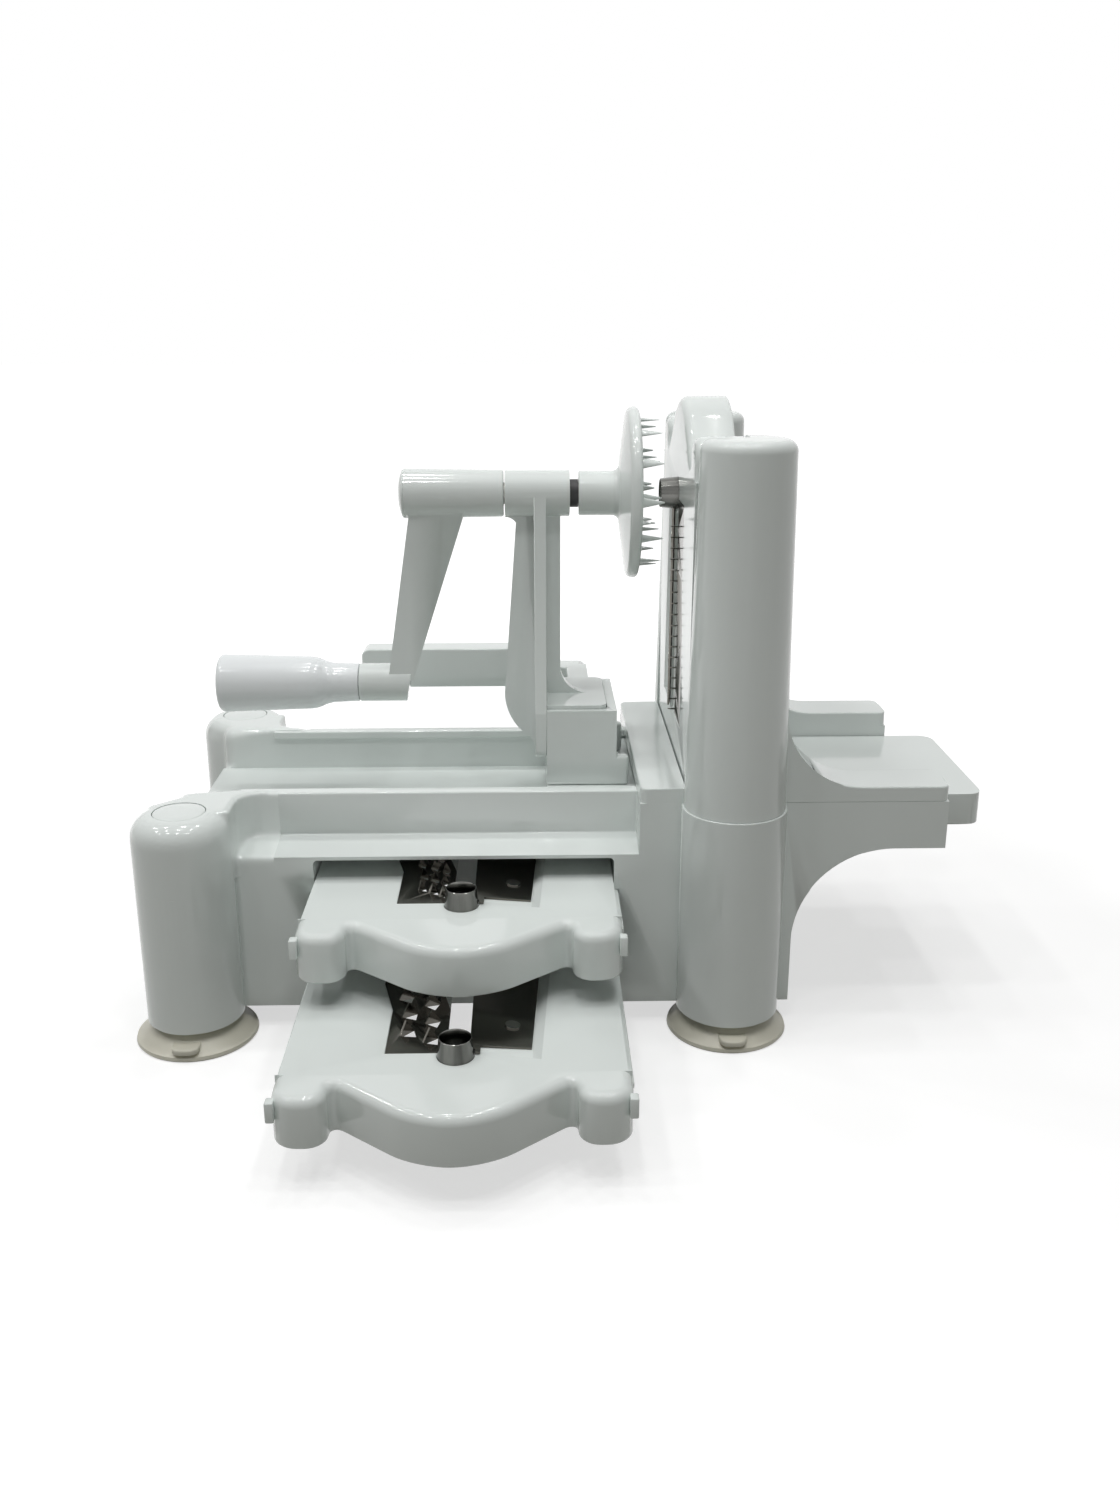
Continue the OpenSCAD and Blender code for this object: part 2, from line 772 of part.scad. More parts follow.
module standing_plate_slot() {
    front = standing_face - plate_gap;
    open_front = column_x - 2 * column_r;
    flange_x = standing_face + flange_depth;
    // Down into the deck, and open to the front above it
    block([front, -bay_y, slot_low_z], [slot_back, bay_y, deck_z + cut]);
    block([open_front, -bay_y, deck_z], [slot_back, bay_y, column_top_z + cut]);
    block([open_front, -lobe_y - plate_gap, handle_slot_z],
          [handle_slot_back, lobe_y + plate_gap, column_top_z + cut]);
    block([flange_x - plate_gap / 2, -groove_y, slot_low_z],
          [flange_x + flange_t + plate_gap / 2, groove_y, column_top_z + cut]);
    block([open_front, -tab_y - plate_gap, tab_pocket_z],
          [standing_face + tab_depth + tab_h + plate_gap, tab_y + plate_gap, column_top_z + cut]);
}

module tower() {
    color(body_white) difference() {
        tower_outside();
        standing_plate_slot();
        both_sides() {
            translate([core_x, core_y, seam_z - cut])
                cylinder(h = core_top_z - seam_z + cut, r = core_r);
            for (x = tower_screw_x)
                translate([x, tower_screw_y, seam_z - cut])
                    cylinder(h = deck_t, r = screw_hole_r);
        }
    }
}

// Pan-head screw that points up, with its head's seat at the origin
module screw(l) {
    cylinder(h = l, r = screw_r);
    translate([0, 0, -screw_head_h]) difference() {
        cylinder(h = screw_head_h, r = screw_head_r);
        for (turn = [0, 90]) rotate([0, 0, turn])
            translate([-screw_head_r / 1.6, -screw_r / 5, -cut])
                cube([screw_head_r * 1.25, screw_r / 2.5, cut + screw_head_h / 2]);
    }
}

module tower_screws() {
    color(steel) both_sides() for (x = tower_screw_x)
        translate([x, tower_screw_y, block_roof_z - touch]) screw(wall_t + deck_t - 1.5 * cut);
}

// Carriage

module sled() {
    inner = sled_wall;
    color(body_white) difference() {
        translate([0, 0, sled_z]) linear_extrude(sled_t) {
            rounded_rect([0, -sled_y], [sled_right, sled_y], sled_corner_r);
            rounded_rect([-housing_left, -sled_y], [sled_right / 2, sled_y], sled_wall);
        }
        // Hollow below, with cross ribs left standing
        ribs = 4;
        bay_l = (sled_right + housing_left - inner) / ribs;
        for (i = [0 : ribs - 1])
            block([inner - housing_left + i * bay_l, inner - sled_y, sled_z - cut],
                  [i * bay_l + bay_l - housing_left, sled_y - inner, sled_top_z - inner]);
        for (y = [-carriage_screw_y, carriage_screw_y])
            translate([carriage_screw_x, y, sled_z])
                cylinder(h = sled_t + cut, r = screw_hole_r);
    }
}

module carriage_housing() {
    color(body_white) difference() {
        union() {
            block([-housing_left, -housing_y, sled_top_z], [housing_right, housing_y, housing_top_z]);
            both_sides() block([housing_right - cut, housing_y - stop_w, sled_top_z],
                               [housing_right + stop_l, housing_y, sled_top_z + stop_h]);
        }
        translate([0, 0, floor_top_z]) linear_extrude(housing_top_z - floor_top_z + cut)
            rounded_rect([housing_wall - housing_left, housing_wall - housing_y],
                         [housing_right - housing_end_wall, housing_y - housing_wall],
                         lid_corner_r + lid_gap);
        // The foot plate rests on the left wall
        block([-housing_left - cut, housing_wall - housing_y, lid_z - touch],
              [0, housing_y - housing_wall, housing_top_z + cut]);
        for (y = [-carriage_screw_y, carriage_screw_y])
            translate([carriage_screw_x, y, sled_top_z - cut])
                cylinder(h = housing_wall + 2 * cut, r = screw_hole_r);
    }
}

module post_web_outline() {
    web_left = barrel_left - web_head_r - touch;
    web_right = barrel_right - web_head_r / 1.4;
    heel_x = heel_r - heel_left;
    heel_z = lid_top_z;
    // Blade of the web from the barrel down to the heel
    polygon([
        [-web_left, axis_z], [web_right, axis_z], [web_right, lid_z + touch],
        [-rib_left, lid_z + touch], [-rib_left, heel_z - heel_r], [heel_x - heel_r, heel_z]
    ]);
    intersection() {
        translate([heel_x, heel_z]) circle(heel_r);
        translate([heel_x - heel_r, heel_z - heel_r]) square([heel_r - rib_left - heel_x, heel_r]);
    }
    // Fillets at the barrel and at the foot plate
    difference() {
        translate([-barrel_left, axis_z - barrel_r - web_head_r])
            square([web_head_r + cut, web_head_r + cut]);
        translate([-barrel_left, axis_z - barrel_r - web_head_r]) circle(web_head_r);
    }
    difference() {
        translate([web_right - cut, lid_top_z - cut]) square([web_foot_r + cut, web_foot_r + cut]);
        translate([web_right + web_foot_r, lid_top_z + web_foot_r]) circle(web_foot_r);
    }
}

module post_rib_outline() {
    low = housing_top_z - rib_drop;
    rounded_rect([-housing_y, low], [housing_y, lid_top_z], bar_corner_r);
    polygon([
        [-housing_y, lid_top_z - bar_corner_r], [housing_y, lid_top_z - bar_corner_r],
        [barrel_r, axis_z], [-barrel_r, axis_z]
    ]);
}

module post() {
    color(body_white) difference() {
        union() {
            rod(-barrel_left, barrel_right, axis_z, barrel_r);
            along_x(-rib_left, -housing_left - touch) post_rib_outline();
            along_y(-web_t / 2, web_t / 2) post_web_outline();
            // Foot plate and the pillars that take the screws
            translate([0, 0, lid_z]) linear_extrude(lid_t)
                rounded_rect([-rib_left + touch, -lid_y], [lid_right, lid_y], lid_corner_r);
            for (y = [-carriage_screw_y, carriage_screw_y])
                translate([carriage_screw_x, y, floor_top_z + touch])
                    cylinder(h = lid_z - floor_top_z, r = pillar_r);
        }
        rod(-barrel_left - cut, barrel_right + cut, axis_z, bushing_r + fit_gap);
        for (y = [-carriage_screw_y, carriage_screw_y])
            translate([carriage_screw_x, y, floor_top_z - cut])
                cylinder(h = (lid_z - floor_top_z) * 0.8, r = screw_hole_r);
    }
}

module pusher_outline() {
    low = lug_z;
    grip_end = pusher_neck_l - (pusher_neck_l + housing_left) / 3;
    rounded_rect([-pusher_left, low], [-grip_end, low + pusher_h], pusher_round);
    rounded_rect([-grip_end, lug_z], [lug_right, lug_z + pusher_neck_h], pusher_round);
    polygon([
        [-grip_end - pusher_h / 2, low], [-grip_end, low],
        [-housing_left, lug_z], [-housing_left, lug_z + pusher_neck_h],
        [-grip_end, low + pusher_h], [-grip_end - pusher_h / 2, low + pusher_h]
    ]);
}

module pusher_handle() {
    far_y = pusher_y + pusher_t;
    color(body_white) {
        intersection() {
            along_y(pusher_y, far_y) pusher_outline();
            along_x(-pusher_left - cut, lug_right + cut)
                rounded_rect([pusher_y, lug_z - pusher_h], [far_y, lug_z + pusher_h * 2], pusher_round);
        }
        block([lug_right - pusher_lug_w, housing_y + touch, lug_z],
              [lug_right, pusher_y + pusher_t / 2, lug_z + pusher_neck_h]);
    }
}

module carriage_screws() {
    head_z = sled_top_z - sled_wall - touch;
    color(steel) for (y = [-carriage_screw_y, carriage_screw_y])
        translate([carriage_screw_x, y, head_z])
            screw(sled_wall + housing_wall + (lid_z - floor_top_z) / 2);
}

module axle_bushing() {
    color(dark_steel) difference() {
        rod(-barrel_left, barrel_right, axis_z, bushing_r);
        rod(-barrel_left - cut, barrel_right + cut, axis_z, axle_r + fit_gap);
    }
}

// Crank

module crank_axle() {
    color(steel) difference() {
        union() {
            rod(-nut_seat, axle_right, axis_z, axle_r);
            rod(-nut_seat - nut_h - end_gap, -nut_seat, axis_z, axle_thread_r);
        }
        rod(axle_right - 4 * screw_head_h, axle_right + cut, axis_z, screw_hole_r);
    }
}

module thrust_washer() {
    color(dark_steel) difference() {
        rod(barrel_right + washer_gap, barrel_right + washer_gap + washer_t, axis_z, washer_r);
        rod(barrel_right, hub_left, axis_z, axle_r + fit_gap);
    }
}

module crank_arm_outline() {
    low = grip_z + boss_r / 4;
    polygon([
        [-arm_top_left, axis_z], [-arm_top_left + arm_w_top, axis_z],
        [-arm_top_left + arm_w_top, axis_z - crank_barrel_r],
        [-arm_low_left + arm_w_low, low], [-arm_low_left, low],
        [-arm_top_left, axis_z - crank_barrel_r]
    ]);
}

module crank_arm() {
    color(body_white) difference() {
        union() {
            rod(-crank_left, -crank_right, axis_z, crank_barrel_end_r, crank_barrel_r);
            along_y(-arm_t / 2, arm_t / 2) crank_arm_outline();
            intersection() {
                rod(-boss_left, -boss_right + boss_slant, grip_z, boss_r);
                along_y(-boss_r - cut, boss_r + cut) polygon([
                    [-boss_left, grip_z - boss_r - cut], [-boss_right, grip_z - boss_r - cut],
                    [-boss_right + boss_slant, grip_z + boss_r + cut],
                    [-boss_left, grip_z + boss_r + cut]
                ]);
            }
        }
        rod(-crank_left - cut, -crank_right + cut, axis_z, axle_r + fit_gap);
        rod(-crank_left - cut, -nut_seat, axis_z, nut_recess_r);
        rod(-boss_left - cut, pin_seat_l - boss_left, grip_z, grip_pin_r + fit_gap);
    }
}

module axle_nut() {
    color(steel) difference() {
        translate([-nut_seat - nut_h - touch, 0, axis_z]) rotate([0, 90, 0])
            cylinder(h = nut_h, r = nut_r, $fn = 6);
        rod(-crank_left, -nut_seat + cut, axis_z, axle_thread_r + fit_gap);
    }
}

module crank_cap() {
    sphere_r = (pow(crank_barrel_end_r, 2) + pow(crank_cap_h, 2)) / (2 * crank_cap_h);
    color(body_white) {
        intersection() {
            translate([-crank_left - crank_cap_h + sphere_r, 0, axis_z]) sphere(sphere_r);
            rod(-crank_left - 2 * crank_cap_h, -crank_left - touch, axis_z, crank_barrel_end_r);
        }
        rod(-crank_left - cut, -nut_seat - nut_h - 2 * end_gap, axis_z, nut_recess_r - fit_gap);
    }
}

// Half outline of the wheel, along its axis and out from it
module wheel_outline() {
    rim_x = wheel_face - rim_t / 2;
    disc_left = wheel_face - disc_root_t;
    polygon([
        [hub_left, 0], [hub_left, hub_r], [disc_left, hub_r],
        [disc_left, hub_r + disc_root_t / 4], [wheel_face - rim_t, wheel_r - rim_t / 2],
        [wheel_face, wheel_r - rim_t / 2], [wheel_face, 0]
    ]);
    translate([rim_x, wheel_r - rim_t / 2]) circle(rim_t / 2);
    // Fillet between hub and disc
    difference() {
        translate([disc_left - hub_r / 3, hub_r - cut]) square([hub_r / 3 + cut, hub_r / 3 + cut]);
        translate([disc_left - hub_r / 3, hub_r + hub_r / 3]) circle(hub_r / 3);
    }
}

// Flat pointed prong that stands on the wheel's face at radius r
module prong(r) {
    translate([wheel_face - touch, 0, r])
        rotate([-90, 0, 0]) translate([0, 0, -prong_t / 2]) linear_extrude(prong_t)
            polygon([[0, -prong_w / 2], [prong_l, 0], [0, prong_w / 2]]);
}

module prong_ring(count, r, turn) {
    for (i = [0 : count - 1])
        translate([0, 0, axis_z]) rotate([turn + i * 360 / count, 0, 0]) prong(r);
}

module prong_wheel() {
    color(body_white) {
        difference() {
            translate([0, 0, axis_z]) rotate([90, 0, 90]) rotate_extrude()
                rotate(90) mirror([0, 1]) wheel_outline();
            rod(hub_left - cut, axle_right, axis_z, axle_r + fit_gap);
            rod(axle_right - cut, wheel_face + cut, axis_z, screw_hole_r);
            rod(wheel_screw_seat, wheel_face + cut, axis_z, screw_head_r + end_gap);
        }
        prong_ring(outer_prongs, outer_ring_r, 0);
        prong_ring(inner_prongs, inner_ring_r, 180 / inner_prongs);
    }
}

module wheel_screw() {
    color(steel) translate([wheel_screw_seat + touch, 0, axis_z]) rotate([0, -90, 0])
        screw(3.5 * screw_head_h);
}

// Half outline of the grip, from the boss outwards
module grip_outline() {
    waist = neck_l + neck_step_l;
    polygon([
        [0, 0], [neck_end_r, 0], [neck_r, neck_l], [grip_waist_r, waist],
        [grip_r, grip_l - grip_end_round], [0, grip_l - grip_end_round]
    ]);
    square([grip_r - grip_end_round, grip_l]);
    translate([grip_r - grip_end_round, grip_l - grip_end_round]) quarter_disc(grip_end_round);
}

module grip() {
    color(grip_white) difference() {
        union() {
            translate([-grip_right, 0, grip_z]) rotate([0, -90, 0]) rotate_extrude() grip_outline();
        }
        rod(-grip_left, -grip_right + cut, grip_z, grip_bore_r);
        rod(-grip_left - cut, -pin_head_x, grip_z, plug_r + fit_gap);
    }
}

module grip_pin() {
    color(steel) {
        rod(-pin_head_x - end_gap, pin_seat_l - boss_left - end_gap, grip_z, grip_pin_r);
        rod(-pin_head_x - end_gap - pin_head_t, -pin_head_x - end_gap, grip_z, pin_head_r);
    }
}

module grip_plug() {
    color(grip_white) rod(-grip_left, -grip_left + plug_t, grip_z, plug_r);
}

// Blade plates. Drawn face up: x across the plate, y from the handle to the tail, z out of the face,
// with the middle of the coring ring at the origin.

// Front edge of the handle at a share of the crest's half width
function crest_at(share) = -notch_l - (crest_l - notch_l) * pow(cos(90 * share), crest_power);

module handle_outline(inset) {
    lobe_mid = lobe_y - lobe_r;
    lobe_half = lobe_r - inset;
    shares = [for (i = [0 : crest_steps]) 2 * i / crest_steps - 1];
    polygon(concat(
        [for (share = shares) [share * crest_half_w, min(crest_at(share) + inset, -notch_l + inset)]],
        [[crest_half_w, -handle_back], [-crest_half_w, -handle_back]]
    ));
    for (end = [-1, 1]) {
        translate([end * lobe_mid, lobe_r - lobe_l]) intersection() {
            circle(lobe_half);
            translate([-lobe_r, -lobe_r]) square([2 * lobe_r, lobe_r]);
        }
        translate([end * lobe_mid - lobe_half, lobe_r - lobe_l])
            square([2 * lobe_half, lobe_l - lobe_r - handle_back]);
        // Bridge between crest and lobe
        mirror([end > 0 ? 0 : 1, 0]) translate([lobe_mid - lobe_r - inset, inset - notch_l])
            square([lobe_r + inset, notch_l - handle_back - inset]);
    }
}

module toothed_sheet_outline(grow) {
    inner = toothed_edge - grow;
    outer = toothed_w + grow;
    back = sheet_front + sheet_l + grow;
    bend_start = sheet_front + sheet_l * flare_start_share;
    bend_end = sheet_front + sheet_l * flare_end_share;
    polygon([
        [-inner, sheet_front - grow], [-inner, bend_start], [-inner - toothed_flare, bend_end],
        [-inner - toothed_flare, back], [-outer - toothed_flare, back],
        [-outer - toothed_flare, bend_end], [-outer, bend_start], [-outer, sheet_front - grow]
    ]);
}

module flat_blade_outline() {
    back = sheet_front + sheet_l;
    polygon([
        [0, blade_front], [blade_w, blade_front + blade_slant],
        [blade_w + blade_flare, back], [0, back]
    ]);
    // Short arm to the coring ring
    translate([0, seat_front]) square([arm_reach, blade_front + cut - seat_front]);
}

// Seat of the flat blade: its own plane, with walls that lean outwards in front and on the right
module flat_blade_seat() {
    front = seat_front - sheet_gap;
    right = blade_w + sheet_gap;
    back = sheet_front + sheet_l + sheet_gap;
    flare = atan(blade_flare / (back - front));
    intersection() {
        translate([0, front, 0]) rotate([seat_lean, 0, 0])
            translate([0, 0, -back]) cube([2 * blade_w, 2 * back, 2 * back]);
        translate([right, front, 0]) rotate([0, 0, -flare]) rotate([0, seat_lean, 0])
            translate([-2 * blade_w, -blade_w, -back]) cube([2 * blade_w, 2 * back, 2 * back]);
        translate([0, front - blade_w, 0]) cube([2 * blade_w, back - front + blade_w, plate_h]);
    }
}

// Puts a flat outline on the tilted seat of the blade, with the cutting edge above the face
module on_blade_seat() {
    translate([cut_edge, 0, cut_rise]) rotate([0, blade_tilt, 0]) children();
}

module plate_frame() {
    back = plate_tail;
    color(body_white) difference() {
        union() {
            // Face with its skirt, and the thick handle
            difference() {
                block([-plate_y, -handle_back - cut, -plate_h], [plate_y, back, 0]);
                block([skirt_t - plate_y, -handle_back + skirt_t, -plate_h - cut],
                      [plate_y - skirt_t, back - skirt_t, -face_t]);
            }
            difference() {
                translate([0, 0, -handle_t]) linear_extrude(handle_t) handle_outline(0);
                translate([0, 0, -handle_t - cut]) linear_extrude(handle_t - face_t + cut)
                    intersection() {
                        handle_outline(skirt_t);
                        translate([-plate_y, -crest_l])
                            square([plate_w, crest_l - handle_back - skirt_t]);
                    }
            }
            for (side = [-1, 1]) {
                low = side > 0 ? plate_y - cut : -flange_y;
                high = side > 0 ? flange_y : cut - plate_y;
                block([low, -handle_back, -flange_depth - flange_t], [high, back, -flange_depth]);
                tab_low = side > 0 ? plate_y - lobe_r / 2 : -tab_y;
                block([tab_low, -tab_front, -tab_depth - tab_h],
                      [tab_low + tab_reach + lobe_r / 2, tab_l - tab_front, -tab_depth]);
            }
            // Pad under the blade, and the boss of the coring ring
            block([cut_edge + blade_bevel, -ring_boss_r, -blade_pad_t],
                  [cut_edge + blade_w + blade_flare + 2 * skirt_t, throat_back + skirt_t, -face_t / 2]);
            translate([0, 0, -plate_h]) cylinder(h = plate_h - face_t / 2, r = ring_boss_r);
        }
        // Throat between the toothed sheet and the cutting edge
        block([-toothed_edge, throat_front, -plate_h - cut],
              [cut_edge + blade_bevel, throat_back, cut]);
        // Recess of the toothed sheet and window under its teeth
        translate([0, 0, -toothed_recess]) linear_extrude(toothed_recess + cut)
            toothed_sheet_outline(sheet_gap);
        block([-toothed_w + skirt_t, throat_front, -plate_h - cut],
              [-toothed_edge + cut, throat_back - skirt_t, -toothed_recess + cut / 4]);
        // Tilted seat of the flat blade
        on_blade_seat() flat_blade_seat();
        translate([0, 0, -plate_h - cut]) cylinder(h = plate_h + 2 * cut, r = ring_hole_r);
        rivet_spots() translate([0, 0, -rivet_l - cut])
            cylinder(h = rivet_l + cut, r = rivet_shank_r + fit_gap);
    }
}

module coring_ring() {
    color(steel) difference() {
        union() {
            translate([0, 0, -ring_root]) cylinder(h = ring_root, r = ring_r);
            cylinder(h = ring_h, r1 = ring_r, r2 = ring_edge_r);
        }
        translate([0, 0, -ring_root - cut])
            cylinder(h = ring_root + ring_h + 2 * cut, r = ring_edge_r - ring_t);
    }
}

module flat_blade() {
    color(dark_steel) difference() {
        on_blade_seat() translate([0, 0, touch]) linear_extrude(sheet_t) difference() {
            flat_blade_outline();
            translate([-cut_edge, 0]) circle(ring_r + sheet_gap * 2);
        }
        rivet_spots() translate([0, 0, -cut])
            cylinder(h = sheet_t + 2 * cut, r = rivet_shank_r + fit_gap);
    }
}

// The two rivet places on the flat blade's seat
module rivet_spots() {
    on_blade_seat() for (share = rivet_l_shares)
        translate([blade_w * rivet_w_share, sheet_front + sheet_l * share, 0]) children();
}

module rivets() {
    color(steel) rivet_spots() {
        translate([0, 0, sheet_t + 2 * touch]) cylinder(h = rivet_head_h, r = rivet_r);
        translate([0, 0, -rivet_l + touch])
            cylinder(h = rivet_l + sheet_t + rivet_head_h / 2, r = rivet_shank_r);
    }
}

module toothed_sheet() {
    translate([0, 0, -toothed_recess + touch]) linear_extrude(sheet_t) difference() {
        toothed_sheet_outline(0);
        circle(ring_r + sheet_gap * 2);
        children();
    }
}

// Distance the toothed sheet has bent outwards at a place along it
function bend_at(l) = toothed_flare
    * min(1, max(0, (l - sheet_front - sheet_l * flare_start_share)
                    / (sheet_l * (flare_end_share - flare_start_share))));

// Runs its children at each tooth's fold, turned square to the line from the coring ring
module tooth_places(columns, pitch) {
    rows = floor((sheet_l - throat_front) / pitch);
    for (column = [0 : len(columns) - 1], row = [0 : rows - 1]) {
        l = throat_front + (row + (column + 1) / len(columns) / 1.25) * pitch - pitch / 5;
        w = -columns[column] - bend_at(l);
        translate([w, l, 0]) rotate([0, 0, atan(-w / l)]) children();
    }
}

// Flat pointed tooth that stands on the sheet, with the opening it was bent out of in front of it
module teeth(columns, pitch, w, h) {
    tooth_places(columns, pitch) translate([0, 0, sheet_t - toothed_recess])
        along_y(0, sheet_t) polygon([[-w / 2, -sheet_t / 2], [w / 2, -sheet_t / 2], [0, h]]);
}

module tooth_openings(columns, pitch, w, h) {
    tooth_places(columns, pitch) polygon([[-w / 2, 0], [w / 2, 0], [0, -h]]);
}

module comb_sheet() {
    rows = floor(sheet_l / comb_pitch);
    color(dark_steel) {
        toothed_sheet();
        for (row = [1 : rows - 2]) {
            l = throat_front + row * comb_pitch;
            translate([-comb_column - bend_at(l), l, sheet_t - toothed_recess])
                along_y(-sheet_t / 4, sheet_t / 4) polygon([
                    [-comb_tooth_w / 2, -sheet_t / 2], [comb_tooth_w / 2, -sheet_t / 2],
                    [comb_tooth_w / 4, comb_tooth_h]
                ]);
        }
    }
}

module medium_sheet() {
    color(dark_steel) {
        toothed_sheet() tooth_openings(upper_columns, upper_pitch, upper_tooth_w, upper_tooth_h);
        teeth(upper_columns, upper_pitch, upper_tooth_w, upper_tooth_h);
    }
}

module large_sheet() {
    color(dark_steel) {
        toothed_sheet() tooth_openings(lower_columns, lower_pitch, lower_tooth_w, lower_tooth_h);
        teeth(lower_columns, lower_pitch, lower_tooth_w, lower_tooth_h);
    }
}

// Places of the three plates
module standing() {
    translate([standing_face, 0, axis_z]) rotate([0, -90, 0]) rotate([0, 0, 90]) children();
}

module stored_upper() {
    translate([-bay_x, -upper_plate_out, upper_plate_z]) children();
}

module stored_lower() {
    translate([-bay_x, -lower_plate_out, lower_plate_z]) children();
}

lower_base();
leg_cap(-1);  // leg_cap_near
leg_cap(1);  // leg_cap_far
suction_foot([-leg_x, -leg_y]);  // foot_left_near
suction_foot([-leg_x, leg_y]);  // foot_left_far
suction_foot([column_x, -column_y]);  // foot_right_near
suction_foot([column_x, column_y]);  // foot_right_far
tower();
tower_screws();
sled();
carriage_housing();
post();
pusher_handle();
carriage_screws();
axle_bushing();
crank_axle();
thrust_washer();
crank_arm();
axle_nut();
crank_cap();
prong_wheel();
wheel_screw();
grip();
grip_pin();
grip_plug();
standing() plate_frame();  // comb_plate
standing() comb_sheet();  // comb_teeth
standing() flat_blade();  // comb_blade
standing() coring_ring();  // comb_ring
standing() rivets();  // comb_rivets
stored_upper() plate_frame();  // upper_plate
stored_upper() medium_sheet();  // upper_teeth
stored_upper() flat_blade();  // upper_blade
stored_upper() coring_ring();  // upper_ring
stored_upper() rivets();  // upper_rivets
stored_lower() plate_frame();  // lower_plate
stored_lower() large_sheet();  // lower_teeth
stored_lower() flat_blade();  // lower_blade
stored_lower() coring_ring();  // lower_ring
stored_lower() rivets();  // lower_rivets
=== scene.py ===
import json
import math
import bpy
import bmesh
from mathutils import Matrix, Vector
from mathutils.bvhtree import BVHTree
from mathutils.kdtree import KDTree


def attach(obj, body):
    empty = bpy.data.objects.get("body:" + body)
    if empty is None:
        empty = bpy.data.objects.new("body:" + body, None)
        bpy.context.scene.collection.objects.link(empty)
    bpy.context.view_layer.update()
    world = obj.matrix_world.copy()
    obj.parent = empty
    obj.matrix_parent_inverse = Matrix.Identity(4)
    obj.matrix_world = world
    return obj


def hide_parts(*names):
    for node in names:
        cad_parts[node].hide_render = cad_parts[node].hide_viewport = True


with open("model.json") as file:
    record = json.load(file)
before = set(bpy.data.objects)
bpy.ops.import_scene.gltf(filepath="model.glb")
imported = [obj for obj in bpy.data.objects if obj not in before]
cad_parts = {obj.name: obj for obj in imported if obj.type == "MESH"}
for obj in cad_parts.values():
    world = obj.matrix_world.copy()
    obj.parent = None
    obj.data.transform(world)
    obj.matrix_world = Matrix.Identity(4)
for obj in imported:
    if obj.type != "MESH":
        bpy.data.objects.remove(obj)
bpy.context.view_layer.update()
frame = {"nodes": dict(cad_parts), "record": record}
scene = bpy.context.scene
mm = 0.001
print("frame loaded:", len(frame["nodes"]), "nodes")

# Camera, from the vanishing lines of the photo
cameraSet = {
    "place": (-0.01491, -0.53952, 0.27116),
    "pitchDown": 18.0,
    "turnRight": 1.346,
    "lens": 32.9,
    "sensor": 36.0,
    "clip": (0.02, 30.0),
}


def addCamera(values):
    data = bpy.data.cameras.new("photoCamera")
    data.sensor_fit = "AUTO"
    data.sensor_width = values["sensor"]
    data.lens = values["lens"]
    data.clip_start, data.clip_end = values["clip"]
    camera = bpy.data.objects.new("photoCamera", data)
    camera.location = values["place"]
    pitch = math.radians(90.0 - values["pitchDown"])
    camera.rotation_euler = (pitch, 0.0, math.radians(-values["turnRight"]))
    scene.collection.objects.link(camera)
    scene.camera = camera


addCamera(cameraSet)
print("camera placed")

# Room: pale floor, pale world, a soft lamp above and three rows of small ceiling lamps
roomSet = {
    "floorHalf": 6.0,
    "floorColour": (0.38, 0.38, 0.355),     # what the object's own light bounces from
    "shadowColour": (0.50, 0.50, 0.50),    # what the camera sees of the shadow
    "floorGlow": 0.62,
    "fadeFrom": 0.25,
    "fadeTo": 0.6,
    "worldLight": 0.16,
    "worldTint": (1.0, 1.0, 0.97),
    "lamps": [
        # name, place, aims at, size, watts
        ("softLamp", (0.1, -0.2, 1.7), (0.0, 0.0, 0.1), 1.3, 3.8),
    ],
    "ceilingX": (-1.05, -0.6, -0.15, 0.3),
    "ceilingY": (-0.6, -0.15, 0.3),
    "ceilingZ": 1.45,
    "ceilingAim": (0.0, 0.0, 0.1),
    "ceilingSize": 0.09,
    "ceilingWatts": 1.2,
}


def linkNodes(tree, pairs):
    for out, into in pairs:
        tree.links.new(out, into)


def seenDirectly(tree):
    # 1 for the camera, for mirrors and through clear pieces
    path = tree.nodes.new("ShaderNodeLightPath")
    glossy = tree.nodes.new("ShaderNodeMath")
    glossy.operation = "MAXIMUM"
    clear = tree.nodes.new("ShaderNodeMath")
    clear.operation = "MAXIMUM"
    linkNodes(tree, [
        (path.outputs["Is Camera Ray"], glossy.inputs[0]),
        (path.outputs["Is Glossy Ray"], glossy.inputs[1]),
        (glossy.outputs[0], clear.inputs[0]),
        (path.outputs["Is Transmission Ray"], clear.inputs[1]),
    ])
    return clear.outputs[0]


def addWorld(values):
    world = bpy.data.worlds.new("softRoom")
    scene.world = world
    world.use_nodes = True
    tree = world.node_tree
    tree.nodes.clear()
    light = tree.nodes.new("ShaderNodeBackground")
    light.inputs["Color"].default_value = (*values["worldTint"], 1.0)
    light.inputs["Strength"].default_value = values["worldLight"]
    plain = tree.nodes.new("ShaderNodeBackground")
    plain.inputs["Color"].default_value = (1.0, 1.0, 1.0, 1.0)
    mixer = tree.nodes.new("ShaderNodeMixShader")
    out = tree.nodes.new("ShaderNodeOutputWorld")
    linkNodes(tree, [
        (seenDirectly(tree), mixer.inputs[0]),
        (light.outputs[0], mixer.inputs[1]),
        (plain.outputs[0], mixer.inputs[2]),
        (mixer.outputs[0], out.inputs["Surface"]),
    ])


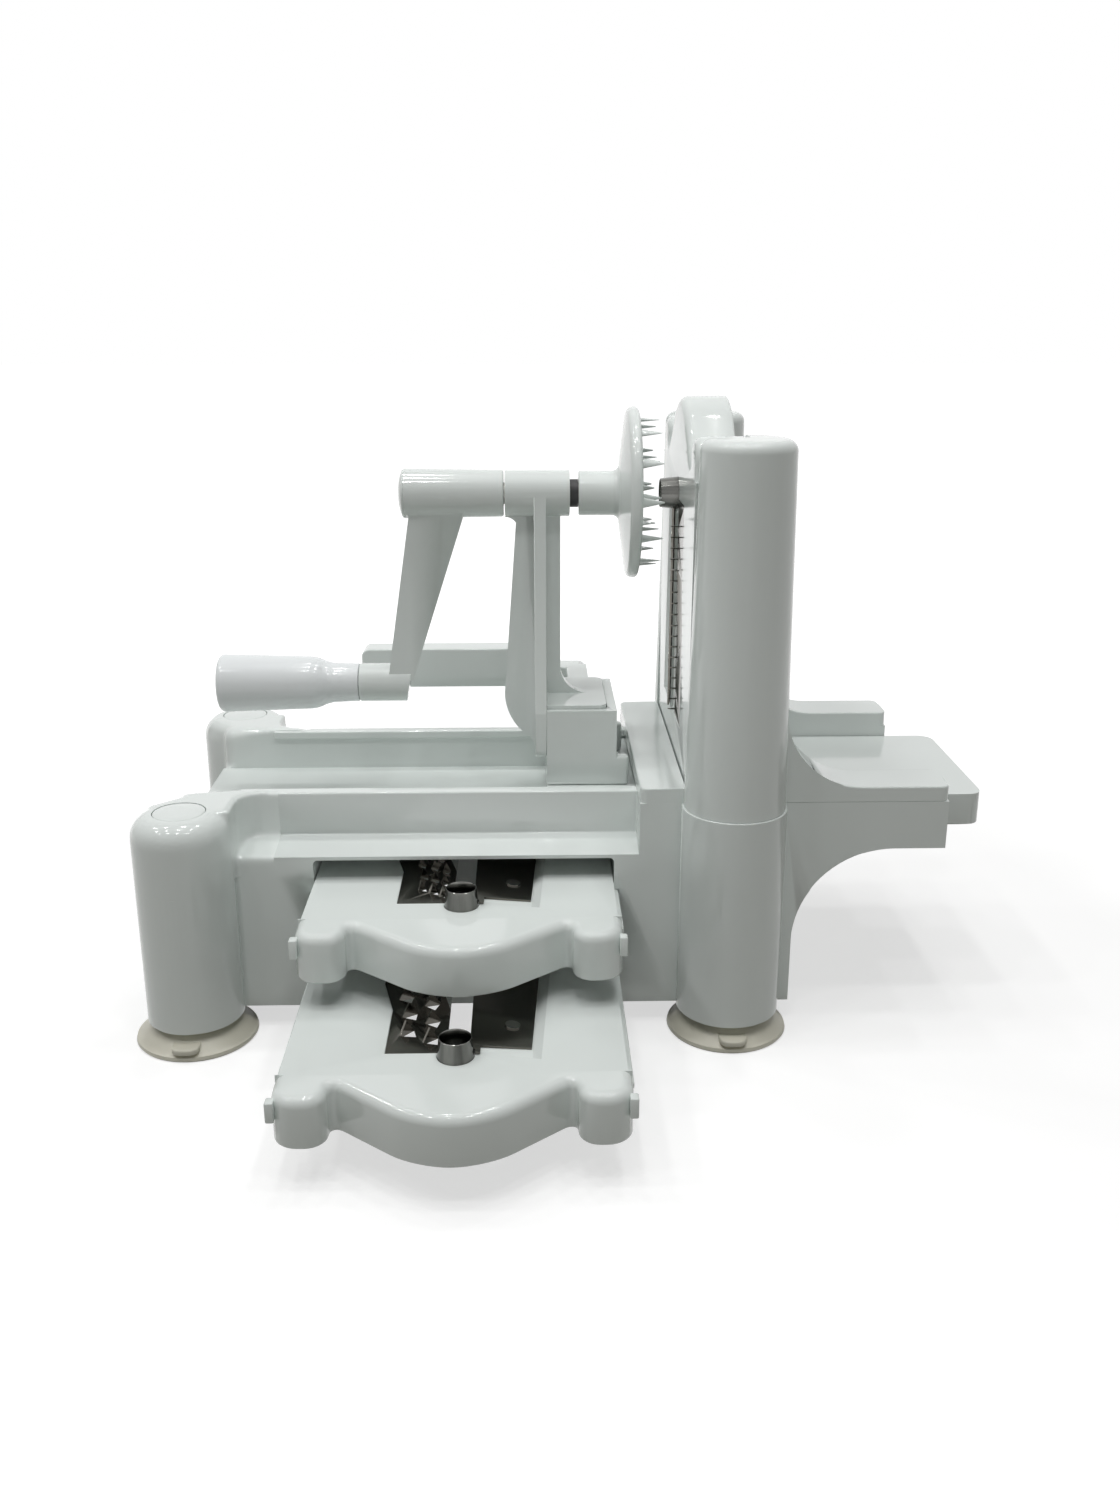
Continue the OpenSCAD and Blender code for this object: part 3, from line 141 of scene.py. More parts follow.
def addFloor(values):
    shape = bmesh.new()
    bmesh.ops.create_grid(shape, x_segments=2, y_segments=2, size=values["floorHalf"])
    mesh = bpy.data.meshes.new("floor")
    shape.to_mesh(mesh)
    shape.free()
    floor = bpy.data.objects.new("floor", mesh)
    scene.collection.objects.link(floor)
    paint = bpy.data.materials.new("floorPaint")
    paint.use_nodes = True
    tree = paint.node_tree
    tree.nodes.clear()
    matt = tree.nodes.new("ShaderNodeBsdfDiffuse")
    matt.inputs["Color"].default_value = (*values["floorColour"], 1.0)
    pale = tree.nodes.new("ShaderNodeBsdfDiffuse")
    pale.inputs["Color"].default_value = (*values["shadowColour"], 1.0)
    glow = tree.nodes.new("ShaderNodeEmission")
    place = tree.nodes.new("ShaderNodeTexCoord")
    away = tree.nodes.new("ShaderNodeVectorMath")
    away.operation = "LENGTH"
    fade = tree.nodes.new("ShaderNodeMapRange")
    fade.inputs["From Min"].default_value = values["fadeFrom"]
    fade.inputs["From Max"].default_value = values["fadeTo"]
    fade.inputs["To Min"].default_value = values["floorGlow"]
    fade.inputs["To Max"].default_value = 1.0
    linkNodes(tree, [
        (place.outputs["Object"], away.inputs[0]),
        (away.outputs["Value"], fade.inputs["Value"]),
        (fade.outputs["Result"], glow.inputs["Strength"]),
    ])
    both = tree.nodes.new("ShaderNodeAddShader")
    mixer = tree.nodes.new("ShaderNodeMixShader")
    out = tree.nodes.new("ShaderNodeOutputMaterial")
    linkNodes(tree, [
        (pale.outputs[0], both.inputs[0]),
        (glow.outputs[0], both.inputs[1]),
        (seenDirectly(tree), mixer.inputs[0]),
        (matt.outputs[0], mixer.inputs[1]),
        (both.outputs[0], mixer.inputs[2]),
        (mixer.outputs[0], out.inputs["Surface"]),
    ])
    floor.data.materials.append(paint)


def addLamp(name, place, aim, size, watts, shape="DISK"):
    data = bpy.data.lights.new(name, "AREA")
    data.shape = shape
    data.size = size
    data.energy = watts
    lamp = bpy.data.objects.new(name, data)
    lamp.location = place
    lamp.rotation_euler = (Vector(aim) - Vector(place)).to_track_quat("-Z", "Y").to_euler()
    scene.collection.objects.link(lamp)


addWorld(roomSet)
addFloor(roomSet)
for lampValues in roomSet["lamps"]:
    addLamp(*lampValues)
for column, lampX in enumerate(roomSet["ceilingX"]):
    for row, lampY in enumerate(roomSet["ceilingY"]):
        addLamp(f"ceilingLamp{column}{row}", (lampX, lampY, roomSet["ceilingZ"]), roomSet["ceilingAim"],
                roomSet["ceilingSize"], roomSet["ceilingWatts"], "SQUARE")
scene.view_settings.view_transform = "Standard"
print("room and lamps made")

# Finishes: colour, how much it varies, roughness, fine grain and its depth
commonFinish = {
    "ior": 1.48, "cloud": 16.0, "cloudDetail": 3.0, "stretch": (1.0, 1.0, 1.0), "bump": 0.5,
    "roughLow": 0.8, "roughHigh": 1.2,
}
finishSet = {
    "whitePlastic": {"colour": (0.79, 0.835, 0.815), "tone": 0.015, "rough": 0.095, "grain": 700.0,
                     "depth": 0.000008},
    "gripPlastic": {"colour": (0.87, 0.90, 0.91), "tone": 0.01, "rough": 0.12, "grain": 500.0,
                    "depth": 0.000006},
    "footRubber": {"colour": (0.68, 0.66, 0.56), "tone": 0.12, "rough": 0.38, "grain": 260.0,
                   "depth": 0.00012},
    "brightSteel": {"colour": (0.33, 0.33, 0.31), "tone": 0.12, "rough": 0.22, "grain": 800.0,
                    "depth": 0.00001},
    # ring steel: the strong tone swing, drawn out along the ring's axis (along X for the standing ring), is
    # painted reflection streaks in the colour
    "ringSteelPaintedReflection": {"colour": (0.17, 0.17, 0.16), "tone": 0.85, "rough": 0.16, "grain": 500.0,
                  "depth": 0.00001, "cloud": 260.0, "stretch": (1.0, 1.0, 0.04)},
    "sideRingSteelPaintedReflection": {"colour": (0.17, 0.17, 0.16), "tone": 0.85, "rough": 0.16, "grain": 500.0,
                      "depth": 0.00001, "cloud": 260.0, "stretch": (0.04, 1.0, 1.0)},
    "bladeSteel": {"colour": (0.155, 0.148, 0.132), "tone": 0.12, "rough": 0.17, "grain": 300.0,
                   "depth": 0.000008},
    "bearingPlastic": {"colour": (0.02, 0.02, 0.02), "tone": 0.1, "rough": 0.5, "grain": 500.0,
                       "depth": 0.00002},
}


def shadeRange(colour, tone):
    dark = tuple(max(0.0, part * (1.0 - tone)) for part in colour)
    light = tuple(min(1.0, part * (1.0 + tone)) for part in colour)
    return (*dark, 1.0), (*light, 1.0)


def makeFinish(name, own):
    values = {**commonFinish, **own}
    finish = bpy.data.materials.new(name)
    finish.use_nodes = True
    tree = finish.node_tree
    bsdf = tree.nodes["Principled BSDF"]
    bsdf.inputs["Metallic"].default_value = 1.0 if "Steel" in name else 0.0
    bsdf.inputs["IOR"].default_value = values["ior"]
    place = tree.nodes.new("ShaderNodeTexCoord")
    cloud = tree.nodes.new("ShaderNodeTexNoise")
    cloud.inputs["Scale"].default_value = values["cloud"]
    cloud.inputs["Detail"].default_value = values["cloudDetail"]
    drawn = tree.nodes.new("ShaderNodeMapping")
    drawn.inputs["Scale"].default_value = values["stretch"]
    tint = tree.nodes.new("ShaderNodeMix")
    tint.data_type = "RGBA"
    dark, light = shadeRange(values["colour"], values["tone"])
    tint.inputs["A"].default_value = dark
    tint.inputs["B"].default_value = light
    grain = tree.nodes.new("ShaderNodeTexNoise")
    grain.inputs["Scale"].default_value = values["grain"]
    bump = tree.nodes.new("ShaderNodeBump")
    bump.inputs["Strength"].default_value = values["bump"]
    bump.inputs["Distance"].default_value = values["depth"]
    gloss = tree.nodes.new("ShaderNodeMapRange")
    gloss.inputs["To Min"].default_value = values["rough"] * values["roughLow"]
    gloss.inputs["To Max"].default_value = values["rough"] * values["roughHigh"]
    linkNodes(tree, [
        (place.outputs["Object"], drawn.inputs["Vector"]),
        (drawn.outputs["Vector"], cloud.inputs["Vector"]),
        (place.outputs["Object"], grain.inputs["Vector"]),
        (cloud.outputs["Fac"], tint.inputs["Factor"]),
        (tint.outputs["Result"], bsdf.inputs["Base Color"]),
        (cloud.outputs["Fac"], gloss.inputs["Value"]),
        (gloss.outputs["Result"], bsdf.inputs["Roughness"]),
        (grain.outputs["Fac"], bump.inputs["Height"]),
        (bump.outputs["Normal"], bsdf.inputs["Normal"]),
    ])
    return finish


finishes = {name: makeFinish(name, values) for name, values in finishSet.items()}
slotFinish = {
    "white_plastic": "whitePlastic",
    "grip_plastic": "gripPlastic",
    "foot_rubber": "footRubber",
    "bright_steel": "brightSteel",
    "blade_steel": "bladeSteel",
    "bearing_plastic": "bearingPlastic",
}
nodeSlot = {part["node"]: part["material_slot"] for part in frame["record"]["subparts"]}
for name, part in frame["nodes"].items():
    part.data.materials.clear()
    part.data.materials.append(finishes[slotFinish[nodeSlot[name]]])
print("finishes made")


# Tools for the pieces
meltSet = {"join": 0.01, "flat": 0.4}
softSet = {
    "angle": 34.0, "sharp": 32.0, "steps": 3,
    "manyCorners": 200,     # a face with more corners is cut into triangles first
    "fullRoom": 2.4,        # room that a full rounding needs, in widths
    "leastRoom": 0.2,       # millimetres
    "straight": 0.005, "slant": 0.85,
    # where a rounding counts as gone wrong, and how it is eased
    "offSkin": 0.6, "foldShare": 0.04, "foldArea": 20.0, "leastArea": 1e-9, "turnedAway": -0.2,
    "reach": 3.0, "rounds": 7, "halvings": 4,
}


def melt(shape):
    # makes flat faces whole
    bmesh.ops.dissolve_limit(shape, angle_limit=math.radians(meltSet["flat"]), verts=shape.verts,
                             edges=shape.edges, use_dissolve_boundaries=False)


def meltedCopy(name):
    # copy of a solid's mesh with its corners joined and its flat faces whole
    shape = bmesh.new()
    shape.from_mesh(frame["nodes"][name].data)
    bmesh.ops.remove_doubles(shape, verts=shape.verts, dist=meltSet["join"] * mm)
    melt(shape)
    return shape


def weighEdges(shape, width, angle, onCut):
    # sharp edges get a rounding that their neighbours have room for
    wide = [face for face in shape.faces if len(face.verts) > softSet["manyCorners"]]
    bmesh.ops.triangulate(shape, faces=wide, quad_method="BEAUTY", ngon_method="BEAUTY")
    weights = shape.edges.layers.float.new("bevel_weight_edge")
    sharp = {edge for edge in shape.edges if edge.is_manifold and edge.calc_face_angle(0.0) > angle
             and not (onCut and all(onCut(vert.co) for vert in edge.verts))}
    fullRoom = width * softSet["fullRoom"]
    for edge in sharp:
        room = fullRoom
        along = (edge.verts[1].co - edge.verts[0].co).normalized()
        for vert in edge.verts:
            for other in vert.link_edges:
                if other is edge or other.calc_face_angle(1.0) < softSet["straight"]:
                    continue
                way = (other.other_vert(vert).co - vert.co).normalized()
                slant = abs(way.dot(along))
                if slant < softSet["slant"]:
                    room = min(room, other.calc_length() * math.sqrt(1.0 - slant * slant))
        edge[weights] = room / fullRoom if room > softSet["leastRoom"] * mm else 0.0


def settleEdges(thing, width):
    # eases the rounding wherever a corner of it would leave the piece's own surface
    mesh = thing.data
    shape = bmesh.new()
    shape.from_mesh(mesh)
    skin = BVHTree.FromBMesh(shape)
    shape.free()
    corners = KDTree(len(mesh.vertices))
    for vert in mesh.vertices:
        corners.insert(vert.co, vert.index)
    corners.balance()
    foldArea = softSet["foldArea"] * mm * mm
    for attempt in range(softSet["rounds"]):
        seen = thing.evaluated_get(bpy.context.evaluated_depsgraph_get()).to_mesh()
        off = {vert.index for vert in seen.vertices
               if skin.find_nearest(vert.co)[3] > width * softSet["offSkin"]}
        seen.calc_loop_triangles()
        spread = [0.0] * len(seen.polygons)
        for part in seen.loop_triangles:
            spread[part.polygon_index] += part.area
        for face in seen.polygons:
            found = skin.find_nearest(face.center)
            folded = abs(spread[face.index] - face.area) > max(softSet["foldShare"] * face.area, foldArea)
            away = face.area > softSet["leastArea"] and face.normal.dot(found[1]) < softSet["turnedAway"]
            if folded or away:
                off.update(face.vertices)
        if not off:
            break
        strays = set()
        for edge in seen.edges:
            pair = [index for index in edge.vertices if index not in off]
            if len(pair) < 2:
                for index in pair or edge.vertices:
                    nearby = corners.find_range(seen.vertices[index].co, width * softSet["reach"])
                    strays.update(found[1] for found in nearby)
        weights = mesh.attributes["bevel_weight_edge"].data
        for edge in mesh.edges:
            if strays.intersection(edge.vertices):
                weights[edge.index].value *= 0.5 if attempt < softSet["halvings"] else 0.0
        mesh.update()
        thing.update_tag()
        bpy.context.view_layer.update()
    print("rounding settled:", thing.name, "rounds", attempt, "left", len(off))


def addPiece(name, shape, values):
    if "edge" in values:
        weighEdges(shape, values["edge"] * mm, math.radians(softSet["angle"]), values.get("onCut"))
    mesh = bpy.data.meshes.new(name)
    shape.to_mesh(mesh)
    shape.free()
    thing = bpy.data.objects.new(name, mesh)
    scene.collection.objects.link(thing)
    mesh.materials.append(finishes[values["finish"]])
    mesh.shade_smooth()
    mesh.set_sharp_from_angle(angle=math.radians(values.get("sharp", softSet["sharp"])))
    if "edge" in values:
        rounding = thing.modifiers.new("softEdges", "BEVEL")
        rounding.width = values["edge"] * mm
        rounding.segments = values.get("edgeSteps", softSet["steps"])
        rounding.limit_method = "WEIGHT"
        rounding.use_clamp_overlap = False
        rounding.harden_normals = True
        settleEdges(thing, values["edge"] * mm)
    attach(thing, values["body"])
    if values.get("stands"):
        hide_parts(*values["stands"])
    return thing


def roundCorners(shape, picks, size, steps=8):
    bmesh.ops.bevel(shape, geom=picks, offset=size * mm, offset_type="OFFSET", affect="VERTICES",
                    segments=steps, profile=0.5, material=-1, clamp_overlap=False)


def roundEdges(shape, picks, size, steps=4):
    bmesh.ops.bevel(shape, geom=picks, offset=size * mm, offset_type="OFFSET", affect="EDGES",
                    segments=steps, profile=0.5, material=-1, clamp_overlap=False)


def outline(points, corners):
    # flat face from a few corner points in millimetres, each rounded by its own size
    shape = bmesh.new()
    verts = [shape.verts.new((x * mm, y * mm, 0.0)) for x, y in points]
    shape.faces.new(verts)
    for vert, size in zip(verts, corners):
        if size > 0.0:
            roundCorners(shape, [vert], size)
    return shape


def thicken(shape, depth):
    # draws the flat face downwards into a solid
    made = bmesh.ops.extrude_face_region(shape, geom=shape.faces[:])
    moved = [item for item in made["geom"] if isinstance(item, bmesh.types.BMVert)]
    bmesh.ops.translate(shape, vec=(0.0, 0.0, -depth * mm), verts=moved)
    bmesh.ops.recalc_face_normals(shape, faces=shape.faces)


def edgesAt(shape, test):
    return [edge for edge in shape.edges if all(test(vert.co) for vert in edge.verts)]


def spun(shape, steps=96):
    # full turn of a half outline round Z
    bmesh.ops.spin(shape, geom=shape.verts[:] + shape.edges[:], cent=(0.0, 0.0, 0.0), axis=(0.0, 0.0, 1.0),
                   dvec=(0.0, 0.0, 0.0), angle=math.tau, steps=steps, use_merge=True, use_duplicate=False)
    bmesh.ops.remove_doubles(shape, verts=shape.verts, dist=0.001 * mm)
    bmesh.ops.recalc_face_normals(shape, faces=shape.faces)
    return shape


def halfOutline(points):
    # open line of (radius, height) points in millimetres
    shape = bmesh.new()
    verts = [shape.verts.new((radius * mm, 0.0, height * mm)) for radius, height in points]
    for pair in zip(verts, verts[1:]):
        shape.edges.new(pair)
    return shape, verts


def turned(profile, steps=96):
    # solid of revolution round Z
    return spun(halfOutline(profile)[0], steps)


def roundedProfile(points, corners, steps=6):
    # half outline with rounded corners, ready to be turned
    shape, verts = halfOutline(points)
    for vert, size in zip(verts, corners):
        if size > 0.0:
            roundCorners(shape, [vert], size, steps)
    return shape


# Base: the moulding from the solid, with its leg heads moulded anew
white = {"finish": "whitePlastic", "slot": "white_plastic"}
baseSet = {
    **white, "body": "base_body", "stands": ["lower_base"], "edge": 0.7, "edgeSteps": 3,
    # box that the leg heads take over, lowest and highest corner on the far side
    "headLow": (-170.0, 38.6, 64.0), "headHigh": (-112.0, 95.0, 97.0), "near": 0.01,
}
headSet = {
    **white, "body": "base_body", "sharp": 70.0,
    "leg": (-145.0, 63.1), "legRadius": 18.3, "top": 92.0, "dome": 8.4, "rail": 91.4,
    "neckLeft": -151.0, "neckRight": -126.7, "trackWall": 38.6, "railWall": 42.4,
    "wall": 59.0, "ledgeHigh": 74.2, "ledgeLow": 71.6, "neckRound": 5.5, "fillet": 10.0,
    "neckFoot": (0.866, 0.5), "neckBend": 44.7, "neckCorner": 5.8, "filletEase": 0.2, "longRim": 30.0,
    "overrun": 8.0, "below": 4.0, "lap": 2.0, "back": 34.0, "lip": 1.2, "domeSteps": 10,
    "voxel": 0.75, "smoothing": 14, "capSeat": 9.9, "capDepth": 1.9,
}


def boxShape(low, high):
    shape = bmesh.new()
    middle = [(a + b) / 2 * mm for a, b in zip(low, high)]
    size = [(b - a) * mm for a, b in zip(low, high)]
    bmesh.ops.create_cube(shape, size=1.0, matrix=Matrix.Translation(middle) @ Matrix.Diagonal((*size, 1.0)))
    return shape


def joined(parts):
    shape = bmesh.new()
    for part in parts:
        spare = bpy.data.meshes.new("spare")
        part.to_mesh(spare)
        part.free()
        shape.from_mesh(spare)
        bpy.data.meshes.remove(spare)
    return shape


def through(shape, addModifiers):
    # a bmesh through modifiers, back as a bmesh
    mesh = bpy.data.meshes.new("spare")
    shape.to_mesh(mesh)
    shape.free()
    thing = bpy.data.objects.new("spare", mesh)
    scene.collection.objects.link(thing)
    addModifiers(thing)
    seen = thing.evaluated_get(bpy.context.evaluated_depsgraph_get())
    result = bmesh.new()
    result.from_mesh(seen.to_mesh())
    bpy.data.objects.remove(thing)
    bpy.data.meshes.remove(mesh)
    return result


def remeshed(shape, voxel, smoothing):
    def modifiers(thing):
        remesh = thing.modifiers.new("remesh", "REMESH")
        remesh.mode = "VOXEL"
        remesh.voxel_size = voxel * mm
        smooth = thing.modifiers.new("smooth", "SMOOTH")
        smooth.factor = 0.5
        smooth.iterations = smoothing
    return through(shape, modifiers)


def cutWith(shape, tool, operation="DIFFERENCE"):
    toolMesh = bpy.data.meshes.new("tool")
    tool.to_mesh(toolMesh)
    tool.free()
    toolThing = bpy.data.objects.new("tool", toolMesh)
    scene.collection.objects.link(toolThing)

    def modifiers(thing):
        cut = thing.modifiers.new("cut", "BOOLEAN")
        cut.operation = operation
        cut.solver = "EXACT"
        cut.object = toolThing
    result = through(shape, modifiers)
    bpy.data.objects.remove(toolThing)
    bpy.data.meshes.remove(toolMesh)
    return result


def placed(shape, matrix):
    bmesh.ops.transform(shape, matrix=matrix, verts=shape.verts)
    if matrix.determinant() < 0.0:
        bmesh.ops.reverse_faces(shape, faces=shape.faces)
    return shape


def legHead(values):
    # far-side leg head with its neck and the start of the rail and ledge
    low, high = baseSet["headLow"], baseSet["headHigh"]
    legX, legY = values["leg"]
    radius, top, dome = values["legRadius"], values["top"], values["dome"]
    fillet, trackWall, railWall = values["fillet"], values["trackWall"], values["railWall"]
    neckLeft, neckRight = values["neckLeft"], values["neckRight"]
    ledgeLow, ledgeHigh, wall = values["ledgeLow"], values["ledgeHigh"], values["wall"]
    bottom, right, back = low[2] - values["overrun"], high[0] + values["overrun"], values["back"]

    quarter = math.pi / 2 / values["domeSteps"]
    turns = [quarter * step for step in range(1, values["domeSteps"] + 1)]
    leg = turned([(0.0, bottom), (radius, bottom), (radius, top - dome)]
                 + [(radius - dome * (1.0 - math.cos(turn)), top - dome * (1.0 - math.sin(turn)))
                    for turn in turns] + [(0.0, top)])
    placed(leg, Matrix.Translation((legX * mm, legY * mm, 0.0)))

    footX, footY = values["neckFoot"]
    neck = outline([
        (legX - radius * footX, legY - radius * footY), (neckLeft, values["neckBend"]),
        (neckLeft, trackWall), (neckRight + fillet, trackWall), (neckRight + fillet, railWall),
        (neckRight, railWall),
        (neckRight, legY), (legX, legY)],
        [0.0, 0.0, values["neckCorner"], 0.0, 0.0, fillet - values["filletEase"], 0.0, 0.0])
    placed(neck, Matrix.Translation((0.0, 0.0, top * mm)))
    thicken(neck, top - ledgeLow + values["below"])
    rims = edgesAt(neck, lambda co: co.z > (top - 0.01) * mm and co.x < (neckRight + 0.1) * mm
                   and co.y < (legY - 1.0) * mm)
    rims = [edge for edge in rims
            if abs(edge.verts[0].co.x - edge.verts[1].co.x) < values["longRim"] * mm]
    roundEdges(neck, rims, values["neckRound"], 6)

    rail = boxShape((neckRight - values["lap"], back, ledgeLow - values["below"]),
                    (right, railWall, values["rail"]))
    ledge = bmesh.new()
    corners = [(back, bottom), (wall, bottom), (wall, ledgeLow), (railWall, ledgeHigh), (back, ledgeHigh)]
    face = ledge.faces.new([ledge.verts.new((neckLeft * mm, y * mm, z * mm)) for y, z in corners])
    made = bmesh.ops.extrude_face_region(ledge, geom=[face])
    moved = [item for item in made["geom"] if isinstance(item, bmesh.types.BMVert)]
    bmesh.ops.translate(ledge, vec=((right - neckLeft) * mm, 0.0, 0.0), verts=moved)
    bmesh.ops.recalc_face_normals(ledge, faces=ledge.faces)
    lip = edgesAt(ledge, lambda co: abs(co.y - wall * mm) < 1e-6 and abs(co.z - ledgeLow * mm) < 1e-6)
    roundEdges(ledge, lip, values["lip"], 3)
    shape = remeshed(joined([leg, neck, rail, ledge]), values["voxel"], values["smoothing"])
    shape = cutWith(shape, boxShape(low, high), "INTERSECT")

    seat, floor, above = values["capSeat"], top - values["capDepth"], top + 3.0
    pocket = turned([(0.0, floor), (seat, floor), (seat, above), (0.0, above)])
    placed(pocket, Matrix.Translation((legX * mm, legY * mm, 0.0)))
    return cutWith(shape, pocket)


def besideHead(co):
    # true on the planes where the leg heads meet the shell
    x, y, z = (part / mm for part in co)
    planes = (x - baseSet["headHigh"][0], abs(y) - baseSet["headLow"][1], z - baseSet["headLow"][2])
    near = baseSet["near"]
    return x < baseSet["headHigh"][0] + near and min(abs(gap) for gap in planes) < near


base = meltedCopy("lower_base")
for side in (1.0, -1.0):
    low, high = baseSet["headLow"], baseSet["headHigh"]
    tool = boxShape((low[0], min(side * low[1], side * high[1]), low[2]),
                    (high[0], max(side * low[1], side * high[1]), high[2]))
    base = cutWith(base, tool)
melt(base)
addPiece("baseShell", base, {**baseSet, "onCut": besideHead})
head = legHead(headSet)
nearHead = placed(head.copy(), Matrix.Diagonal((1.0, -1.0, 1.0, 1.0)))
addPiece("legHeadFar", head, headSet)
addPiece("legHeadNear", nearHead, headSet)
print("base made")

# Leg caps and feet
legSpots = {"near": (-145.0, -63.1), "far": (-145.0, 63.1)}
capSet = {
    **white, "body": "base_body", "radius": 9.62, "top": 92.15, "thickness": 2.0,
    # how far in and how far down the points of the rim and the crown lie
    "rim": [(0.0, 0.55), (0.18, 0.3), (0.55, 0.15), (4.81, 0.02)],
}
footSpots = {
    "foot_left_near": (-145.0, -63.1), "foot_left_far": (-145.0, 63.1),
    "foot_right_near": (61.7, -61.5), "foot_right_far": (61.7, 61.5),
}
footSet = {
    "finish": "footRubber", "slot": "foot_rubber", "body": "base_body", "sharp": 50.0,
    "profile": [(0.0, 4.5), (12.0, 4.5), (20.6, 0.3), (22.6, 0.0), (23.2, 0.8), (22.9, 1.9), (21.2, 2.6),
                (20.4, 3.7), (17.2, 5.6), (14.0, 8.9), (5.0, 8.9), (4.0, 8.9), (4.0, 12.0), (4.6, 12.02),
                (3.4, 14.4), (0.0, 14.4)],
    # half width, thickness and reach of the pull tab
    "tab": (5.2, 2.4, 7.4), "tabPlace": (0.0, -16.2, 3.0), "tabCorner": 3.6, "tabEdge": 0.7,
}


def legCap(name, spot, values):
    radius, top = values["radius"], values["top"]
    low = top - values["thickness"]
    shape = turned([(0.0, low), (radius, low)]
                   + [(radius - inset, top - drop) for inset, drop in values["rim"]] + [(0.0, top)])
    placed(shape, Matrix.Translation((spot[0] * mm, spot[1] * mm, 0.0)))
    return addPiece(name, shape, {**values, "stands": ["leg_cap_" + name[6:].lower()]})


legCap("legCapNear", legSpots["near"], capSet)
legCap("legCapFar", legSpots["far"], capSet)


def suctionFoot(node, spot, values):
    shape = turned(values["profile"], 96)
    halfWidth, thick, reach = values["tab"]
    tab = outline([(-halfWidth, 0.0), (-halfWidth, -reach), (halfWidth, -reach), (halfWidth, 0.0)],
                  [0.0, values["tabCorner"], values["tabCorner"], 0.0])
    thicken(tab, thick)
    rims = edgesAt(tab, lambda co: co.y < -0.1 * mm)
    level = [edge for edge in rims if abs(edge.verts[0].co.z - edge.verts[1].co.z) < 1e-7]
    roundEdges(tab, level, values["tabEdge"], 3)
    placed(tab, Matrix.Translation([part * mm for part in values["tabPlace"]])
           @ Matrix.Translation((0.0, 0.0, thick * mm)))
    shape = joined([shape, tab])
    placed(shape, Matrix.Translation((spot[0] * mm, spot[1] * mm, 0.0)))
    name = "".join(word.capitalize() for word in node.split("_")[1:])
    return addPiece("suctionFoot" + name, shape, {**values, "stands": [node]})


for footNode, footSpot in footSpots.items():
    suctionFoot(footNode, footSpot, footSet)
print("feet made")

# Plain mouldings: the solids with softened edges
mouldingSet = {
    "towerShell": {**white, "body": "base_body", "stands": ["tower"], "edge": 0.7},
    "sledSlide": {**white, "body": "carriage_body", "stands": ["sled"], "edge": 0.9},
    "housingBox": {**white, "body": "carriage_body", "stands": ["carriage_housing"], "edge": 1.4},
    "postWithBarrel": {**white, "body": "carriage_body", "stands": ["post"], "edge": 0.8},
    "pusherBar": {**white, "body": "carriage_body", "stands": ["pusher_handle"], "edge": 0.8},
    "crankArm": {**white, "body": "crank_body", "stands": ["crank_arm"], "edge": 0.8},
}
for name, values in mouldingSet.items():
    addPiece(name, meltedCopy(values["stands"][0]), values)
print("mouldings made")

# Crank: cap, wheel with prongs, grip
axisZ = 200.3
gripZ = 124.1
gripSet = {
    "finish": "gripPlastic", "slot": "grip_plastic", "body": "grip_body", "stands": ["grip", "grip_plug"],
    "sharp": 40.0, "start": -83.9,
    # radius and distance from the inner end
    "points": [(0.0, 54.7), (7.1, 54.7), (7.1, 51.2), (3.1, 51.2), (3.1, 0.0), (7.65, 0.0), (8.15, 12.0),
               (10.6, 17.2), (11.8, 56.5), (7.1, 56.5), (6.9, 56.1), (0.0, 56.1)],
    "corners": [0.0, 0.0, 0.0, 0.0, 0.0, 0.35, 2.4, 2.4, 2.2, 0.15, 0.0, 0.0],
}
capEndSet = {
    **white, "body": "crank_body", "stands": ["crank_cap"], "sharp": 40.0,
    "points": [(0.0, -57.8), (8.6, -57.8), (8.6, -63.0), (9.45, -63.05), (9.35, -63.7), (7.2, -64.75),
               (4.0, -65.3), (0.0, -65.42)],
    "corners": [0.0, 0.0, 0.0, 0.25, 0.3, 1.6, 2.0, 0.0],
}
wheelSet = {
    **white, "body": "crank_body", "stands": ["prong_wheel"], "sharp": 40.0, "face": 28.0,
    # radius and distance along the crank axis
    "points": [(4.3, 4.9), (8.6, 4.9), (8.6, 20.6), (12.2, 20.9), (32.6, 23.6), (33.3, 28.0), (4.0, 28.0),
               (4.3, 4.9)],
    "corners": [0.0, 0.7, 2.4, 2.0, 1.8, 2.0, 0.0, 0.0],
    "rings": [(12, 28.0, 0.0), (6, 15.0, 30.0)],
    "prong": {"length": 8.2, "width": 4.2, "thick": 1.9, "tip": 0.28, "sunk": 0.5, "sides": 20},
}


def lathe(values, axisHeight):
    # turned piece on a line along X: half outline of (radius, x)
    shape = spun(roundedProfile(values["points"], values["corners"]))
    lying = Matrix.Rotation(math.radians(90), 4, "Y")
    return placed(shape, Matrix.Translation((0.0, 0.0, axisHeight * mm)) @ lying)


gripShape = dict(gripSet)
gripShape["points"] = [(radius, gripSet["start"] - along) for radius, along in gripSet["points"]]
addPiece("turningGrip", lathe(gripShape, gripZ), gripSet)
addPiece("crankCap", lathe(capEndSet, axisZ), capEndSet)


